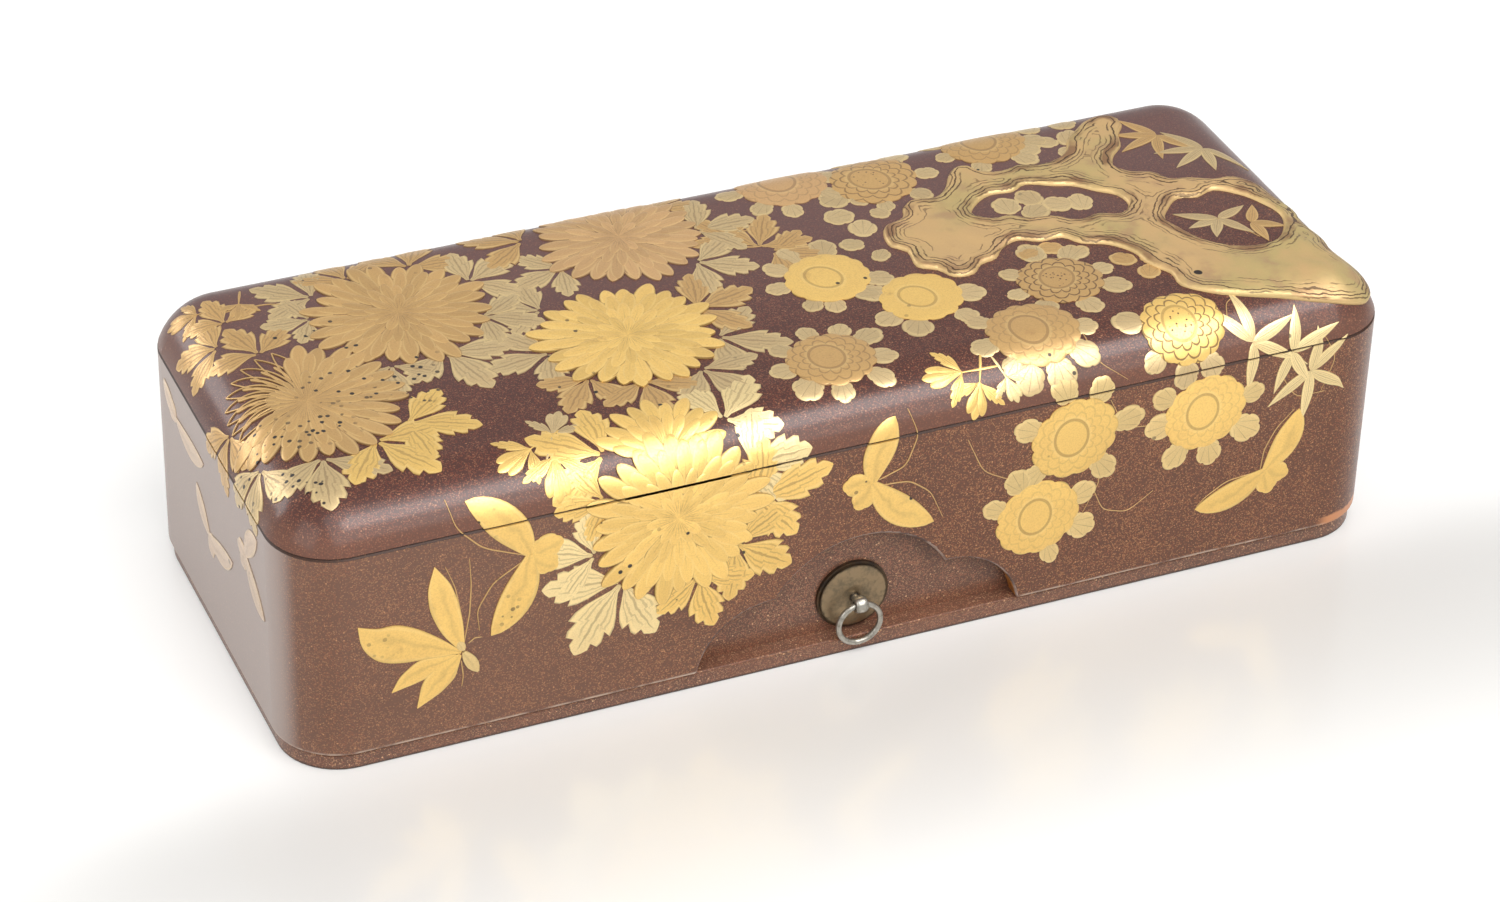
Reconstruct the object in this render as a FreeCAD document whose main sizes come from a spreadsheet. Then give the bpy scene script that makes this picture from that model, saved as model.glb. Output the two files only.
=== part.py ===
# Japanese writing box in three tiers: a base with cord rings, a case with a
# cusped opening front and back that drops over it, and a flush lid.  A tray
# inside the case carries the inkstone and the writing tools.
#
# Millimetres, +Z up, +X along the box, front face towards -Y.  The origin is
# on the table, under the middle of the box.

import FreeCAD
import Part
import math
import os
import re

import Sketcher

Vector = FreeCAD.Vector

SIZES = [
    # alias, value, meaning
    ("case_length", 250.0, "case, outside, along X"),
    ("case_width", 98.4, "case, outside, along Y"),
    ("case_height", 63.0, "table to the top of the lid"),
    ("lid_rise", 10.0, "seam to the top of the lid"),
    ("shoulder_reach", 14.0, "how far the lid's rounded shoulder runs in over the top"),
    ("corner_core", 0.2, "plan corner radius beyond the shoulder's reach"),
    ("case_wall", 4.0, "thickness of the case wall"),
    ("case_gap", 1.0, "gap between the case wall and the base wall"),
    ("base_inset", 1.0, "base board's edge behind the case's face"),
    ("ledge_height", 3.9, "thickness of the base board"),
    ("ledge_gap", 0.3, "case's lower edge above the base board"),
    ("base_thickness", 3.5, "thickness of the base wall"),
    ("base_cover", 2.0, "top of the base wall above the top of the opening"),
    ("floor_thickness", 2.5, "case floor"),
    ("arch_radius", 22.3, "middle lobe of the cusped opening"),
    ("arch_top", 29.9, "top of the middle lobe above the table"),
    ("lobe_radius", 17.2, "side lobes of the cusped opening"),
    ("lobe_top", 18.6, "top of the side lobes above the table"),
    ("lobe_offset", 20.0, "centre of a side lobe from the middle"),
    ("opening_rounding", 0.7, "rounding of the case's lower edge and cusped openings"),
    ("edge_rounding", 0.4, "small rounding of lacquered edges"),
    ("seam_bevel", 0.35, "bevel on each side of the seam"),
    ("rim_thickness", 1.6, "rim liner inside the case"),
    ("rim_proud", 3.0, "rim liner above the seam"),
    ("lid_fit", 0.3, "clearance of the lid round the rim liner"),
    ("lid_top", 4.0, "thickness of the lid's top"),
    ("lid_land", 7.0, "lid's inner hollow behind its face"),
    ("lid_hollow_rounding", 2.0, "rounding inside the lid's hollow"),
    ("tray_fit", 0.5, "clearance of the tray inside the rim liner"),
    ("tray_wall", 2.4, "tray wall"),
    ("tray_bottom", 1.6, "tray bottom"),
    ("tray_setdown", 1.6, "tray's rim below the seam"),
    ("notch_radius", 15.0, "finger notch in each end of the tray"),
    ("notch_depth", 6.0, "depth of the finger notch"),
    ("board_fit", 0.3, "clearance of the fitted board inside the tray"),
    ("board_thickness", 7.0, "fitted board"),
    ("seat_fit", 0.5, "clearance of each tool in its seat"),
    ("seat_corner", 3.0, "corner radius of the seats in the board"),
    ("trough_end", 3.2, "board left beyond each end of the trough"),
    ("trough_width", 32.0, "brush trough along Y"),
    ("board_margin", 2.0, "board left between the trough and its front edge"),
    ("lane_margin", 1.4, "trough left beside the outermost tools"),
    ("rest_thickness", 5.0, "brush rest along X"),
    ("rest_inset", 23.0, "middle of the left brush rest from the butts of the handles"),
    ("rest_setback", 7.0, "middle of the right brush rest behind the knife handle's end"),
    ("rest_fit", 0.25, "clearance of the tools in the brush rests"),
    ("rest_lift", 3.0, "underside of a brush handle above the tray's floor"),
    ("stone_web", 2.9, "board left in front of and behind the inkstone's seat"),
    ("stone_height", 14.0, "inkstone"),
    ("stone_rim", 3.5, "rim round the inkstone's face"),
    ("stone_corner", 3.0, "outer corners of the inkstone"),
    ("land_depth", 1.5, "grinding land below the inkstone's rim"),
    ("pool_depth", 8.0, "ink pool below the inkstone's rim"),
    ("pool_length", 34.0, "sloping end of the inkstone's face"),
    ("stone_rounding", 1.0, "rounding of the inkstone's top edges"),
    ("dropper_diameter", 34.0, "water dropper"),
    ("dropper_headroom", 6.0, "top of the dropper below the lid's inside"),
    ("dropper_foot", 24.0, "diameter of the dropper's foot"),
    ("dropper_mouth", 26.0, "diameter of the dropper's shoulder opening"),
    ("dropper_wall", 1.2, "metal of the dropper"),
    ("dropper_dome", 3.0, "rise of the dropper's top"),
    ("dropper_hole", 2.0, "water and air holes"),
    ("dropper_margin", 16.7, "board left beyond the dropper's seat"),
    ("dropper_web", 16.0, "board left between the dropper's seat and the inkstone's"),
    ("stick_length", 58.0, "ink stick"),
    ("stick_width", 13.0, "ink stick"),
    ("stick_height", 8.0, "ink stick"),
    ("stick_margin", 5.7, "board left beyond the ink stick's seat"),
    ("stick_web", 7.0, "board left between the ink stick's seat and the inkstone's"),
    ("stick_seat", 3.0, "depth of the ink stick's seat in the board"),
    ("brush_room", 5.0, "trough left behind the butts of the handles"),
    ("hair_length", 28.0, "brush hair beyond the handle"),
    ("large_diameter", 7.6, "large brush handle"),
    ("small_diameter", 6.0, "small brush handle"),
    ("cap_overlap", 8.0, "cap over the end of the handle"),
    ("cap_wall", 0.95, "wall of the brush cap"),
    ("cap_fit", 0.05, "radial clearance of the cap on the handle"),
    ("cap_space", 4.0, "free length in the cap beyond the hair"),
    ("cap_end", 2.0, "closed end of the cap"),
    ("cap_room", 39.0, "trough left ahead of a cap, for it to slide off"),
    ("knife_setback", 28.0, "end of the knife handle behind the end of the brush handles"),
    ("knife_width", 8.0, "paper knife handle"),
    ("knife_thickness", 5.0, "paper knife handle"),
    ("knife_corner", 2.0, "plan corners of the knife handle"),
    ("blade_length", 44.0, "blade beyond the handle"),
    ("blade_inset", 0.5, "blade's edges inside the sides of the handle"),
    ("blade_thickness", 1.4, "blade"),
    ("blade_point", 12.0, "length of the slanting edge at the point"),
    ("tang_length", 14.0, "blade inside the handle"),
    ("washer_diameter", 16.4, "back washer of the ring fitting"),
    ("washer_thickness", 0.8, "back washer"),
    ("washer_clearance", 0.2, "back washer above the base board"),
    ("plate_inset", 0.6, "ring plate's rim inside the washer's"),
    ("plate_edge", 0.5, "ring plate at its rim"),
    ("plate_dome", 0.6, "rise of the ring plate to its middle"),
    ("plate_crown", 3.04, "radius of the plate's flat middle"),
    ("shank_diameter", 1.8, "shank of the ring staple"),
    ("shank_fit", 0.1, "radial clearance round the shank"),
    ("eye_wire", 0.9, "diameter of the eye's wire"),
    ("ring_diameter", 10.9, "cord ring, outside"),
    ("ring_wire", 1.3, "diameter of the ring's wire"),
    ("ring_fit", 0.25, "radial clearance of the ring in the eye"),
    ("ring_clearance", 0.15, "ring in front of the base board's edge"),
    ("leg_length", 6.0, "clinched legs of the staple"),
    ("leg_width", 1.6, "clinched legs"),
    ("leg_thickness", 0.8, "clinched legs"),
]

# Places and sizes that follow from the sheet, as expressions.
SEAM = "(case_height - lid_rise)"
SHOULDER = "((shoulder_reach^2 + lid_rise^2) / (2 * lid_rise))"
OVERSIZE = f"({SHOULDER} - shoulder_reach)"
CORNER = "(shoulder_reach + corner_core)"
CASE_EDGE = "(ledge_height + ledge_gap)"
BASE_TOP = "(arch_top + base_cover)"
FLOOR_TOP = f"({BASE_TOP} + floor_thickness)"
BASE_SETBACK = "(case_wall + case_gap)"
RIM_INSIDE = "(case_wall + rim_thickness)"
TRAY_OUTSIDE = f"({RIM_INSIDE} + tray_fit)"
TRAY_INSIDE = f"({TRAY_OUTSIDE} + tray_wall)"
TRAY_FLOOR = f"({FLOOR_TOP} + tray_bottom)"
TRAY_TOP = f"({SEAM} - tray_setdown)"
BOARD_OUTSIDE = f"({TRAY_INSIDE} + board_fit)"
BOARD_TOP = f"({TRAY_FLOOR} + board_thickness)"
BOARD_END = f"(case_length / 2 - {BOARD_OUTSIDE})"
BOARD_BACK = f"(case_width / 2 - {BOARD_OUTSIDE})"
TROUGH_FRONT = f"(board_margin - {BOARD_BACK})"
TROUGH_MIDDLE = f"({TROUGH_FRONT} + trough_width / 2)"
TROUGH_BACK = f"({TROUGH_FRONT} + trough_width)"
TROUGH_END = f"({BOARD_END} - trough_end)"
LANE_PITCH = "(trough_width / 2 - knife_width / 2 - lane_margin)"
HANDLE_REST = f"({TRAY_FLOOR} + rest_lift)"
BUTT_END = f"(brush_room - {TROUGH_END})"
HANDLE_END = f"({TROUGH_END} - cap_room - cap_end - cap_space - hair_length)"
KNIFE_END = f"({HANDLE_END} - knife_setback)"
ROW_MIDDLE = f"(({BOARD_BACK} + {TROUGH_BACK}) / 2)"
DROPPER_X = f"(dropper_margin + seat_fit + dropper_diameter / 2 - {BOARD_END})"
STICK_X = f"({BOARD_END} - stick_margin - seat_fit - stick_length / 2)"
STONE_LEFT = f"({DROPPER_X} + dropper_diameter / 2 + 2 * seat_fit + dropper_web)"
STONE_RIGHT = f"({STICK_X} - stick_length / 2 - 2 * seat_fit - stick_web)"
STONE_X = f"(({STONE_LEFT} + {STONE_RIGHT}) / 2)"
STONE_LENGTH = f"({STONE_RIGHT} - {STONE_LEFT})"
STONE_WIDTH = f"({BOARD_BACK} - {TROUGH_BACK} - 2 * (stone_web + seat_fit))"
DROPPER_RIM = "(case_height - lid_top - dropper_headroom - dropper_dome)"
DROPPER_HEIGHT = f"({DROPPER_RIM} - {TRAY_FLOOR})"
BLADE_HALF = "(knife_width / 2 - blade_inset)"
FITTING_HEIGHT = "(ledge_height + washer_clearance + washer_diameter / 2)"
PLATE_RADIUS = "(washer_diameter / 2 - plate_inset)"
WALL_FACE = f"(-case_width / 2 + {BASE_SETBACK})"
EYE_Y = "(-case_width / 2 + base_inset - ring_clearance - ring_wire / 2)"
STAND_OFF = f"({WALL_FACE} - {EYE_Y})"
EYE_RADIUS = "(ring_wire / 2 + ring_fit + eye_wire / 2)"

# Outline of the brush hair: shares of its length and of the handle's radius.
HAIR_OUTLINE = [(1, 0), (0.6, 0.6), (0.2, 0.8), (0, 0.7)]

document = FreeCAD.newDocument("writing_box")
sheet = document.addObject("Spreadsheet::Sheet", "Sizes")
for row, (alias, number, meaning) in enumerate(SIZES, start=1):
    sheet.set(f"A{row}", alias)
    sheet.set(f"B{row}", str(number))
    sheet.set(f"C{row}", meaning)
    sheet.setAlias(f"B{row}", alias)
document.recompute()

parts = []


# Helpers


def bound(text):
    """The expression with each alias turned into a reference to the sheet."""
    return re.sub(r"[a-z]+(?:_[a-z]+)+", lambda word: f"Sizes.{word.group(0)}", text)


def value(text):
    """The expression's present value."""
    return float(sheet.evalExpression(bound(text)))


def bind(target, **expressions):
    """Ties properties to expressions; a double underscore stands for a dot."""
    for name, text in expressions.items():
        target.setExpression(name.replace("__", "."), bound(text))


def new_body(name):
    body = document.addObject("PartDesign::Body", name)
    body.Label = name
    parts.append(body)
    return body


def new_sketch(body, name, plane, x="0", y="0", lift="0"):
    """A sketch on one of the body's planes, its origin at x, y and its height at lift."""
    sketch = body.newObject("Sketcher::SketchObject", name)
    support = [p for p in body.Origin.OriginFeatures if p.Role == plane][0]
    sketch.AttachmentSupport = [(support, "")]
    sketch.MapMode = "FlatFace"
    bind(sketch, AttachmentOffset__Base__x=x, AttachmentOffset__Base__y=y,
         AttachmentOffset__Base__z=lift)
    return sketch


def size(sketch, name, constraint, text):
    """Adds a dimension and ties it to an expression."""
    sketch.renameConstraint(sketch.addConstraint(constraint), name)
    sketch.setExpression(f"Constraints.{name}", bound(text))


def rounded_rectangle(sketch, length, width, corner):
    """Rectangle with round corners about the sketch's origin."""
    x = value(length) / 2
    y = value(width) / 2
    r = value(corner)
    centres = [(x - r, y - r), (r - x, y - r), (r - x, r - y), (x - r, r - y)]
    quarter = math.pi / 2
    for k, (cx, cy) in enumerate(centres):
        circle = Part.Circle(Vector(cx, cy, 0), Vector(0, 0, 1), r)
        arc = Part.ArcOfCircle(circle, k * quarter, (k + 1) * quarter)
        following = Part.Circle(Vector(*centres[(k + 1) % 4], 0), Vector(0, 0, 1), r)
        sketch.addGeometry(arc, False)
        start = circle.value((k + 1) * quarter)
        sketch.addGeometry(Part.LineSegment(start, following.value((k + 1) * quarter)), False)
    for k in range(4):
        arc = 2 * k
        line = arc + 1
        sketch.addConstraint(Sketcher.Constraint("Tangent", arc, 2, line, 1))
        sketch.addConstraint(Sketcher.Constraint("Tangent", line, 2, (arc + 2) % 8, 1))
        direction = "Horizontal" if k % 2 == 0 else "Vertical"
        sketch.addConstraint(Sketcher.Constraint(direction, line))
    for k in range(1, 4):
        sketch.addConstraint(Sketcher.Constraint("Equal", 0, 2 * k))
    sketch.addConstraint(Sketcher.Constraint("Symmetric", 0, 3, 4, 3, -1, 1))
    size(sketch, "corner", Sketcher.Constraint("Radius", 0, r), corner)
    size(sketch, "length", Sketcher.Constraint("DistanceX", 3, 1, 7, 1, 2 * x), length)
    size(sketch, "width", Sketcher.Constraint("DistanceY", 5, 1, 1, 1, 2 * y), width)


def polygon(sketch, corners):
    """Closed outline of straight sides; each corner is a pair of expressions."""
    points = [Vector(value(u), value(v), 0) for u, v in corners]
    count = len(points)
    for k in range(count):
        sketch.addGeometry(Part.LineSegment(points[k], points[(k + 1) % count]), False)
    for k in range(count):
        sketch.addConstraint(Sketcher.Constraint("Coincident", k, 2, (k + 1) % count, 1))
    for k, (u, v) in enumerate(corners):
        size(sketch, f"across_{k}", Sketcher.Constraint("DistanceX", -1, 1, k, 1, points[k].x), u)
        size(sketch, f"along_{k}", Sketcher.Constraint("DistanceY", -1, 1, k, 1, points[k].y), v)


def circle(sketch, diameter, x="0", y="0"):
    """Circle whose centre is given from the sketch's origin."""
    centre = Vector(value(x), value(y), 0)
    index = sketch.addGeometry(Part.Circle(centre, Vector(0, 0, 1), value(diameter) / 2), False)
    size(sketch, f"across_{index}", Sketcher.Constraint("DistanceX", -1, 1, index, 3, centre.x), x)
    size(sketch, f"along_{index}", Sketcher.Constraint("DistanceY", -1, 1, index, 3, centre.y), y)
    radius = Sketcher.Constraint("Radius", index, value(diameter) / 2)
    size(sketch, f"radius_{index}", radius, f"{diameter} / 2")


def pad(body, sketch, name, length, midplane=False, reverse=False):
    feature = body.newObject("PartDesign::Pad", name)
    feature.Profile = sketch
    feature.Midplane = midplane
    feature.Reversed = reverse
    bind(feature, Length=length)
    document.recompute()
    return feature


def pocket(body, sketch, name, length, midplane=False, upwards=False):
    """Cuts the sketch out of the body and makes sure that something was cut."""
    before = body.Shape.Volume
    feature = body.newObject("PartDesign::Pocket", name)
    feature.Profile = sketch
    feature.Midplane = midplane
    feature.Reversed = upwards
    bind(feature, Length=length)
    document.recompute()
    if not body.Shape.Volume < before:
        raise RuntimeError(f"{body.Label}: {name} cuts nothing")
    return feature


def revolve(body, sketch, name, axis):
    feature = body.newObject("PartDesign::Revolution", name)
    feature.Profile = sketch
    feature.ReferenceAxis = (sketch, [axis])
    feature.Angle = 360
    document.recompute()
    return feature


def dress(body, kind, name, edges, amount):
    """Rounds or bevels the edges of the body's last feature that pass the test."""
    base = body.Tip
    names = [f"Edge{k}" for k, edge in enumerate(base.Shape.Edges, start=1) if edges(edge)]
    feature = body.newObject(f"PartDesign::{kind}", name)
    feature.Base = (base, names)
    if kind == "Fillet":
        bind(feature, Radius=amount)
    else:
        bind(feature, Size=amount)
    document.recompute()
    return feature


def level(edge, height):
    """Whether the whole edge lies at this height."""
    box = edge.BoundBox
    return abs(box.ZMin - height) < 1e-4 and abs(box.ZMax - height) < 1e-4


def shell_sketch(body, name, setback, corner, lift):
    """Outline of the box, set back from the case's face."""
    sketch = new_sketch(body, name, "XY_Plane", lift=lift)
    rounded_rectangle(sketch, f"case_length - 2 * {setback}", f"case_width - 2 * {setback}",
                      corner)
    return sketch


def slab(body, name, setback, bottom, top):
    """Board that follows the box's outline, set back from the case's face."""
    sketch = shell_sketch(body, f"{name}_outline", setback, f"{CORNER} - {setback}", bottom)
    return pad(body, sketch, name, f"{top} - {bottom}")


def hollow(body, name, setback, bottom, height):
    """Pocket upwards from bottom that follows the box's outline."""
    sketch = shell_sketch(body, f"{name}_outline", setback, f"{CORNER} - {setback}", bottom)
    return pocket(body, sketch, name, height, upwards=True)


# Base


def make_base_board():
    body = new_body("base_board")
    slab(body, "board", "base_inset", "0", "ledge_height")
    top = value("ledge_height")
    dress(body, "Fillet", "edge", lambda e: level(e, top) or level(e, 0), "edge_rounding")


def make_base_wall():
    body = new_body("base_wall")
    slab(body, "wall", BASE_SETBACK, "ledge_height", BASE_TOP)
    hollow(body, "inside", f"({BASE_SETBACK} + base_thickness)", "ledge_height",
           f"{BASE_TOP} - ledge_height")
    top = value(BASE_TOP)
    dress(body, "Fillet", "edge", lambda e: level(e, top), "edge_rounding")
    sketch = new_sketch(body, "shank_holes_outline", "XZ_Plane", y=FITTING_HEIGHT)
    circle(sketch, "(shank_diameter + 2 * shank_fit)")
    pocket(body, sketch, "shank_holes", "case_width", midplane=True)


# Case


def cusped_opening(sketch):
    """Three lobes: one high in the middle, a lower one each side, open below."""
    middle = Vector(0, value("arch_top - arch_radius"), 0)
    side = Vector(value("lobe_offset"), value("lobe_top - lobe_radius"), 0)
    arch = Part.Circle(middle, Vector(0, 0, 1), value("arch_radius"))
    lobe = Part.Circle(side, Vector(0, 0, 1), value("lobe_radius"))
    crossings = [Vector(p.X, p.Y, 0) for p in arch.intersectCC(lobe)]
    cusp = max(crossings, key=lambda p: p.y)
    below = value("-ledge_height")
    foot = Vector(side.x + (lobe.Radius ** 2 - (side.y - below) ** 2) ** 0.5, below, 0)

    def arc(centre, radius, first, last):
        whole = Part.Circle(centre, Vector(0, 0, 1), radius)
        return Part.ArcOfCircle(whole, whole.parameter(first), whole.parameter(last))

    def mirrored(point):
        return Vector(-point.x, point.y, 0)

    sketch.addGeometry(arc(side, lobe.Radius, foot, cusp), False)
    sketch.addGeometry(arc(middle, arch.Radius, cusp, mirrored(cusp)), False)
    sketch.addGeometry(arc(mirrored(side), lobe.Radius, mirrored(cusp), mirrored(foot)), False)
    sketch.addGeometry(Part.LineSegment(mirrored(foot), foot), False)
    for first, second in ((0, 1), (1, 2), (2, 3), (3, 0)):
        sketch.addConstraint(Sketcher.Constraint("Coincident", first, 2, second, 1))
    sketch.addConstraint(Sketcher.Constraint("Horizontal", 3))
    sketch.addConstraint(Sketcher.Constraint("PointOnObject", 1, 3, -2))
    sketch.addConstraint(Sketcher.Constraint("Symmetric", 0, 3, 2, 3, -2))
    sketch.addConstraint(Sketcher.Constraint("Equal", 0, 2))
    size(sketch, "arch_radius", Sketcher.Constraint("Radius", 1, arch.Radius), "arch_radius")
    size(sketch, "lobe_radius", Sketcher.Constraint("Radius", 0, lobe.Radius), "lobe_radius")
    size(sketch, "arch_rise", Sketcher.Constraint("DistanceY", -1, 1, 1, 3, middle.y),
         "arch_top - arch_radius")
    size(sketch, "lobe_rise", Sketcher.Constraint("DistanceY", -1, 1, 0, 3, side.y),
         "lobe_top - lobe_radius")
    size(sketch, "lobe_offset", Sketcher.Constraint("DistanceX", -1, 1, 0, 3, side.x),
         "lobe_offset")
    size(sketch, "foot_level", Sketcher.Constraint("DistanceY", 3, 2, -1, 1, -below),
         "ledge_height")


def make_case_wall():
    body = new_body("case_wall")
    slab(body, "wall", "0", CASE_EDGE, SEAM)
    hollow(body, "inside", "case_wall", CASE_EDGE, f"{SEAM} - {CASE_EDGE}")
    half_length = value("case_length / 2")
    half_width = value("case_width / 2")
    corner = value(CORNER)
    skin = value("case_wall / 2")

    def near_face(edge):
        """Whether the edge runs nearer the wall's outer face than its inner one."""
        middle = edge.valueAt((edge.FirstParameter + edge.LastParameter) / 2)
        across = abs(middle.x) - (half_length - corner)
        along = abs(middle.y) - (half_width - corner)
        if across > 0 and along > 0:
            return math.hypot(across, along) > corner - skin
        return max(across, along) > corner - skin

    seam = value(SEAM)
    dress(body, "Chamfer", "seam", lambda e: level(e, seam) and near_face(e), "seam_bevel")
    sketch = new_sketch(body, "cusped_opening_outline", "XZ_Plane")
    cusped_opening(sketch)
    pocket(body, sketch, "cusped_opening", "2 * case_width", midplane=True)
    foot = value(CASE_EDGE)
    reach = value("lobe_offset + lobe_radius")

    def lower_outline(edge):
        box = edge.BoundBox
        if level(edge, foot):
            return near_face(edge)
        on_face = abs(abs(box.YMin) - half_width) < 1e-4 and box.YLength < 1e-4
        return on_face and box.ZMax < seam - skin and max(abs(box.XMin), box.XMax) < reach + skin

    dress(body, "Fillet", "lower_edge", lower_outline, "opening_rounding")


def make_case_floor():
    body = new_body("case_floor")
    slab(body, "floor", "case_wall", BASE_TOP, FLOOR_TOP)


def make_case_rim_liner():
    body = new_body("case_rim_liner")
    slab(body, "liner", "case_wall", FLOOR_TOP, f"({SEAM} + rim_proud)")
    hollow(body, "inside", RIM_INSIDE, FLOOR_TOP, f"{SEAM} + rim_proud - {FLOOR_TOP}")
    top = value(f"{SEAM} + rim_proud")
    dress(body, "Fillet", "edge", lambda e: level(e, top), "edge_rounding")


# Lid


def make_lid_shell():
    """A block larger than the case, its top edge rounded, cut off at the seam.

    The shoulder's arc is steeper than the wall where the cut takes it, so
    the lid meets the case in a slight corner.
    """
    body = new_body("lid_shell")
    start = f"(case_height - {SHOULDER} - lid_rise)"
    sketch = new_sketch(body, "block_outline", "XY_Plane", lift=start)
    rounded_rectangle(sketch, f"case_length + 2 * {OVERSIZE}", f"case_width + 2 * {OVERSIZE}",
                      f"{CORNER} + {OVERSIZE}")
    pad(body, sketch, "block", f"{SHOULDER} + lid_rise")
    top = value("case_height")
    dress(body, "Fillet", "shoulder", lambda e: level(e, top), SHOULDER)
    sketch = new_sketch(body, "below_seam_outline", "XY_Plane", lift=SEAM)
    rounded_rectangle(sketch, "2 * case_length", "2 * case_width", CORNER)
    pocket(body, sketch, "below_seam", "case_height")
    seam = value(SEAM)
    dress(body, "Chamfer", "seam", lambda e: level(e, seam), "seam_bevel")
    hollow(body, "rebate", "(case_wall - lid_fit)", SEAM, "rim_proud + lid_fit")
    hollow(body, "inside", "lid_land", SEAM, "lid_rise - lid_top")
    roof = value("case_height - lid_top")
    dress(body, "Fillet", "roof", lambda e: level(e, roof), "lid_hollow_rounding")


# Tray and its fitted board


def make_tray_frame():
    body = new_body("tray_frame")
    slab(body, "outside", TRAY_OUTSIDE, FLOOR_TOP, TRAY_TOP)
    hollow(body, "inside", TRAY_INSIDE, TRAY_FLOOR, f"{TRAY_TOP} - {TRAY_FLOOR}")
    top = value(TRAY_TOP)
    dress(body, "Fillet", "rim", lambda e: level(e, top), "edge_rounding")
    centre = f"{TRAY_TOP} - notch_depth + notch_radius"
    sketch = new_sketch(body, "finger_notches_outline", "YZ_Plane", y=centre)
    circle(sketch, "(2 * notch_radius)")
    pocket(body, sketch, "finger_notches", "case_length", midplane=True)


def board_seat(body, name, x, y, length, width, corner, depth):
    """Cuts a seat down from the fitted board's top."""
    sketch = new_sketch(body, f"{name}_outline", "XY_Plane", x=x, y=y, lift=BOARD_TOP)
    rounded_rectangle(sketch, length, width, corner)
    pocket(body, sketch, name, depth)


def make_tray_board():
    body = new_body("tray_board")
    slab(body, "board", BOARD_OUTSIDE, TRAY_FLOOR, BOARD_TOP)
    board_seat(body, "brush_trough", "0", TROUGH_MIDDLE, f"2 * {TROUGH_END}", "trough_width",
               "seat_corner", "board_thickness")
    board_seat(body, "stone_seat", STONE_X, ROW_MIDDLE,
               f"{STONE_LENGTH} + 2 * seat_fit", f"{STONE_WIDTH} + 2 * seat_fit",
               "stone_corner + seat_fit", "board_thickness")
    board_seat(body, "stick_seat", STICK_X, ROW_MIDDLE,
               "stick_length + 2 * seat_fit", "stick_width + 2 * seat_fit", "seat_fit",
               "stick_seat")
    sketch = new_sketch(body, "dropper_seat_outline", "XY_Plane", x=DROPPER_X, y=ROW_MIDDLE,
                        lift=BOARD_TOP)
    circle(sketch, "(dropper_diameter + 2 * seat_fit)")
    pocket(body, sketch, "dropper_seat", "board_thickness")


def make_brush_rest(name, shift):
    """A small bar across the trough, with a round seat for each brush."""
    body = new_body(name)
    sketch = new_sketch(body, "bar_outline", "YZ_Plane", x=TROUGH_MIDDLE, y=TRAY_FLOOR,
                        lift=shift)
    half = "(trough_width / 2 - board_fit)"
    top = "(rest_lift + large_diameter / 2)"
    polygon(sketch, [(f"-{half}", "0"), (half, "0"), (half, top), (f"-{half}", top)])
    pad(body, sketch, "bar", "rest_thickness", midplane=True)
    sketch = new_sketch(body, "seats_outline", "YZ_Plane", x=TROUGH_MIDDLE, y=HANDLE_REST,
                        lift=shift)
    circle(sketch, "(small_diameter + 2 * rest_fit)", f"-{LANE_PITCH}", "small_diameter / 2")
    circle(sketch, "(large_diameter + 2 * rest_fit)", "0", "large_diameter / 2")
    pocket(body, sketch, "seats", "2 * rest_thickness", midplane=True)
    sketch = new_sketch(body, "slots_outline", "YZ_Plane", x=TROUGH_MIDDLE, y=HANDLE_REST,
                        lift=shift)
    left = f"({LANE_PITCH} - knife_width / 2 - rest_fit)"
    right = f"({LANE_PITCH} + knife_width / 2 + rest_fit)"
    polygon(sketch, [(left, "0"), (right, "0"), (right, "large_diameter"),
                     (left, "large_diameter")])
    pocket(body, sketch, "knife_slot", "2 * rest_thickness", midplane=True)


# Inkstone, ink stick and water dropper


def make_inkstone():
    body = new_body("inkstone")
    sketch = new_sketch(body, "stone_outline", "XY_Plane", x=STONE_X, y=ROW_MIDDLE,
                        lift=TRAY_FLOOR)
    rounded_rectangle(sketch, STONE_LENGTH, STONE_WIDTH, "stone_corner")
    pad(body, sketch, "stone", "stone_height")
    top = f"({TRAY_FLOOR} + stone_height)"
    sketch = new_sketch(body, "face_outline", "XZ_Plane", x=STONE_X, y=top,
                        lift=f"-{ROW_MIDDLE}")
    back = f"(stone_rim - {STONE_LENGTH} / 2)"
    front = f"({STONE_LENGTH} / 2 - stone_rim)"
    polygon(sketch, [(back, "0"), (back, "-land_depth"),
                     (f"{front} - pool_length", "-land_depth"), (front, "-pool_depth"),
                     (front, "0")])
    pocket(body, sketch, "face", f"{STONE_WIDTH} - 2 * stone_rim", midplane=True)
    inner = value(front)
    middle = value(STONE_X)

    def inner_corner(e):
        box = e.BoundBox
        upright = box.ZLength > max(box.XLength, box.YLength) + 1e-6
        return upright and abs(abs(box.XMin - middle) - inner) < 1e-3

    dress(body, "Fillet", "inner_corners", inner_corner, "stone_corner")
    height = value(top)
    dress(body, "Fillet", "top_edges", lambda e: level(e, height), "stone_rounding")


def make_ink_stick():
    body = new_body("ink_stick")
    seat = f"({BOARD_TOP} - stick_seat)"
    sketch = new_sketch(body, "stick_outline", "XY_Plane", x=STICK_X, y=ROW_MIDDLE,
                        lift=seat)
    rounded_rectangle(sketch, "stick_length", "stick_width", "stone_rounding")
    pad(body, sketch, "stick", "stick_height")
    top = value(f"{seat} + stick_height")
    bottom = value(seat)
    dress(body, "Fillet", "edges", lambda e: level(e, top) or level(e, bottom),
          "edge_rounding")


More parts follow.
